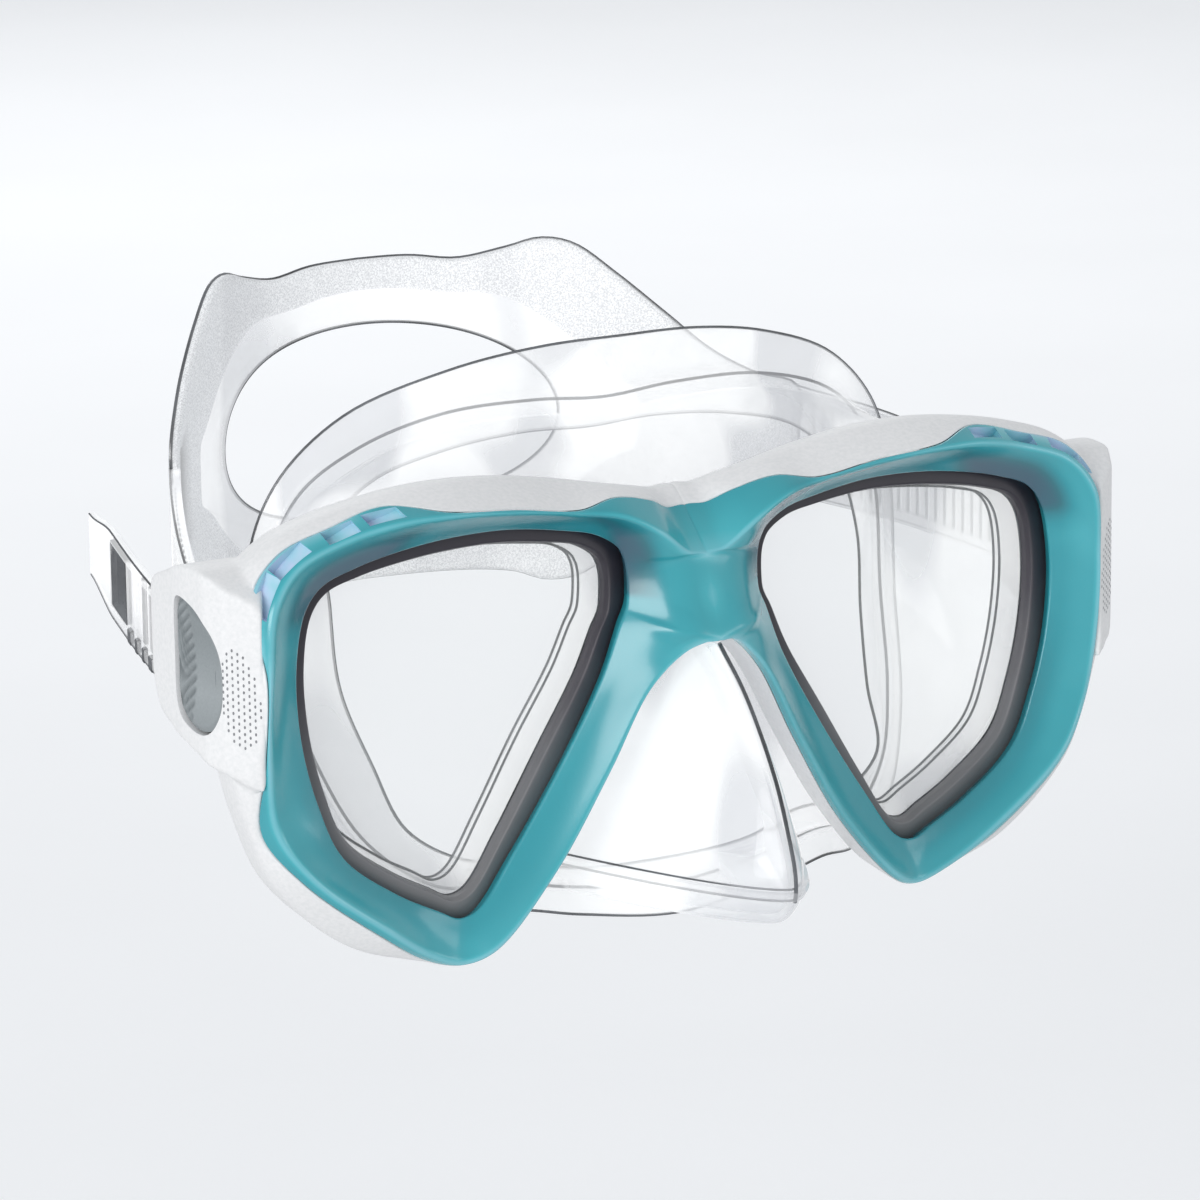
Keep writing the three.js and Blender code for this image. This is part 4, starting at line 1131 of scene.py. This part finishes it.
def tail(name, line):
    """The strap's free end: two rails with upright bars, and a finger slot near its tip drawn as a dark
    sheet of painted shade.
    """
    path = spline(line, 16)
    along = unit(np.gradient(path, axis=0))
    outward = unit(np.stack([along[:, 1], -along[:, 0], np.zeros(len(along))], axis=1))
    upward = np.broadcast_to((0, 0, 1), path.shape)
    narrowing = 1 - 0.3 * smooth_step(np.linspace(0, 1, len(path)), 0.88, 1.0)
    half_width = (TAIL_WIDTH / 2 * narrowing)[:, None]
    half_thick = TAIL_THICK / 2

    def band(rows, low, high, inner, outer):
        corners = [
            path[rows] + outward[rows] * depth + upward[rows] * height * half_width[rows]
            for depth, height in ((inner, low), (outer, low), (outer, high), (inner, high))
        ]
        return loft("band", rounded(corners, [0.3] * 4, steps=3), rows_closed=False, caps=True)

    slot_start, slot_end = (int(share * len(path)) for share in TAIL_SLOT)
    everything = slice(0, len(path))
    clear = [
        band(everything, 0.74, 1, -half_thick, half_thick),
        band(everything, -1, -0.74, -half_thick, half_thick),
        band(slice(slot_end, len(path)), -0.8, 0.8, -half_thick, half_thick),
        band(slice(0, slot_start), -0.8, 0.8, -half_thick, -half_thick + 0.5),
    ]
    # Painted shade: the dark slot, dark lines along the rails, and dark strips under and between the bars.
    dark = [
        band(slice(slot_start, slot_end + 1), -0.76, 0.76, -half_thick, half_thick - 0.3),
        band(everything, 0.98, 1.02, half_thick - 0.4, half_thick + 0.05),
        band(everything, -1.02, -0.98, half_thick - 0.4, half_thick + 0.05),
    ]
    lengths = lengths_along(path)
    for centre in np.arange(8.0, lengths[slot_start] + 0.2, RIB_PITCH):
        rows = np.where(np.abs(lengths - centre) < 0.62)[0]
        if len(rows) > 1:
            clear.append(band(slice(rows[0], rows[-1] + 1), -0.8, 0.8, 0, half_thick))
            dark.append(band(slice(rows[0], rows[-1] + 1), -1.05, -0.72, 0, half_thick + 0.15))
        rows = np.where(np.abs(lengths - centre - RIB_PITCH / 2) < 0.5)[0]
        if len(rows) > 1:
            dark.append(band(slice(rows[0], rows[-1] + 1), -0.76, 0.76, -half_thick, -0.1))
    return two_looks(name, clear, dark)


def two_looks(name, clear, dark):
    """Clear parts and dark parts, the painted shade lines, as one object with two materials."""
    count = sum(len(part.data.polygons) for part in clear)
    obj = joined(name, clear + dark)
    obj.data.materials.append(SILICONE)
    obj.data.materials.append(PAINTED_EDGE_SHADE)
    for face in obj.data.polygons:
        face.material_index = 1 if face.index >= count else 0
    return soften(obj, 40)


def tails():
    left = tail("strap_tail_band_l", LEVEL_TAIL)
    facing = tail("raised_tail", RAISED_TAIL)
    right = flipped("strap_tail_band_r", facing)
    remove(facing)
    finish(left, SILICONE, "tail_l", "clear_silicone", "strap_tail_l")
    finish(right, SILICONE, "tail_r", "clear_silicone", "strap_tail_r")


# ---- CAD pieces that keep their shape ----
CARRIED = {
    "lens": GLASS, "buckle_cover": WHITE, "button_pin": STEEL, "pawl": GREY, "pawl_spring": STEEL,
    "roller": ACETAL, "roller_pin": STEEL, "strap_wrap": SILICONE,
}


def finish_carried():
    for name, look in CARRIED.items():
        for side in "lr":
            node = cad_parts[f"{name}_{side}"]
            node.data.materials.clear()
            node.data.materials.append(look)


# ---- Studio ----
def studio():
    world = bpy.data.worlds.new("studio")
    world.use_nodes = True
    background = world.node_tree.nodes["Background"]
    settings(background, Color=(0.96, 0.98, 1.0, 1), Strength=0.62)
    bpy.context.scene.world = world
    bpy.context.scene.view_settings.view_transform = "Standard"
    area_light("key", (-1.7, -1.0, 0.25), 1.3, 22)
    area_light("fill", (1.2, -1.5, -0.1), 1.0, 4)
    area_light("back", (0.6, 1.6, 0.9), 1.2, 6)
    floor()


def area_light(name, where, size, power):
    light = bpy.data.lights.new(name, "AREA")
    light.shape = "DISK"
    light.size = size
    light.energy = power
    obj = add_object(name, light)
    obj.location = where
    obj.rotation_euler = (-Vector(where)).to_track_quat("-Z", "Y").to_euler()


def floor():
    """A pale floor that curves up into a wall all round, well below and behind the mask."""
    profile = [(0.0, -150.0), (2200.0, -150.0), (3000.0, 0.0), (3500.0, 900.0), (3600.0, 3000.0)]
    line = spline([(r, 0, z) for r, z in profile], 8)
    turns = np.linspace(0, 2 * math.pi, 97)[:-1]
    grid = [
        np.stack([r * np.cos(turns), r * np.sin(turns), np.full_like(turns, z)], axis=1)
        for r, _, z in line[1:]
    ]
    obj = loft("studio_floor", np.array(grid), rows_closed=False, caps=False)
    cap = new_object("studio_middle", grid[0], [tuple(range(len(turns)))])
    look, shader, add, link = material("studio_paper")
    link(ramp(add, noise(add, place(add), 6), [(0.3, srgb(247, 248, 250)), (0.7, srgb(250, 251, 253))]),
         shader.inputs["Base Color"])
    settings(shader, Roughness=0.9, Emission_Color=(0.96, 0.98, 1, 1), Emission_Strength=0.1)
    for part in (obj, cap):
        part.data.shade_smooth()
        part.data.materials.append(look)
        part.visible_diffuse = False


def camera():
    """A long lens from the wearer's right front, a little above."""
    azimuth, elevation, roll = (math.radians(value) for value in (-31.0, 14.68, -0.53))
    distance = 1.03
    back = Vector((
        math.sin(azimuth) * math.cos(elevation),
        -math.cos(azimuth) * math.cos(elevation),
        math.sin(elevation),
    ))
    right = Vector((math.cos(azimuth), math.sin(azimuth), 0))
    up = back.cross(right)
    tilted_right = right * math.cos(roll) + up * math.sin(roll)
    tilted_up = up * math.cos(roll) - right * math.sin(roll)
    data = bpy.data.cameras.new("camera")
    data.lens = 184.7
    data.shift_x = -0.0756
    data.shift_y = 0.0929
    data.clip_end = 20
    obj = add_object("camera", data)
    turn = Matrix((tilted_right, tilted_up, back)).transposed().to_4x4()
    obj.matrix_world = Matrix.Translation(back * distance) @ turn
    bpy.context.scene.camera = obj


# ---- Assembly ----
camera()
studio()
front_frame()
rear = rear_frame()
vent_dots(rear, 1)
vent_dots(rear, -1)
lens_seals()
buttons()
skirt()
strap_back()
side_run()
tails()
finish_carried()
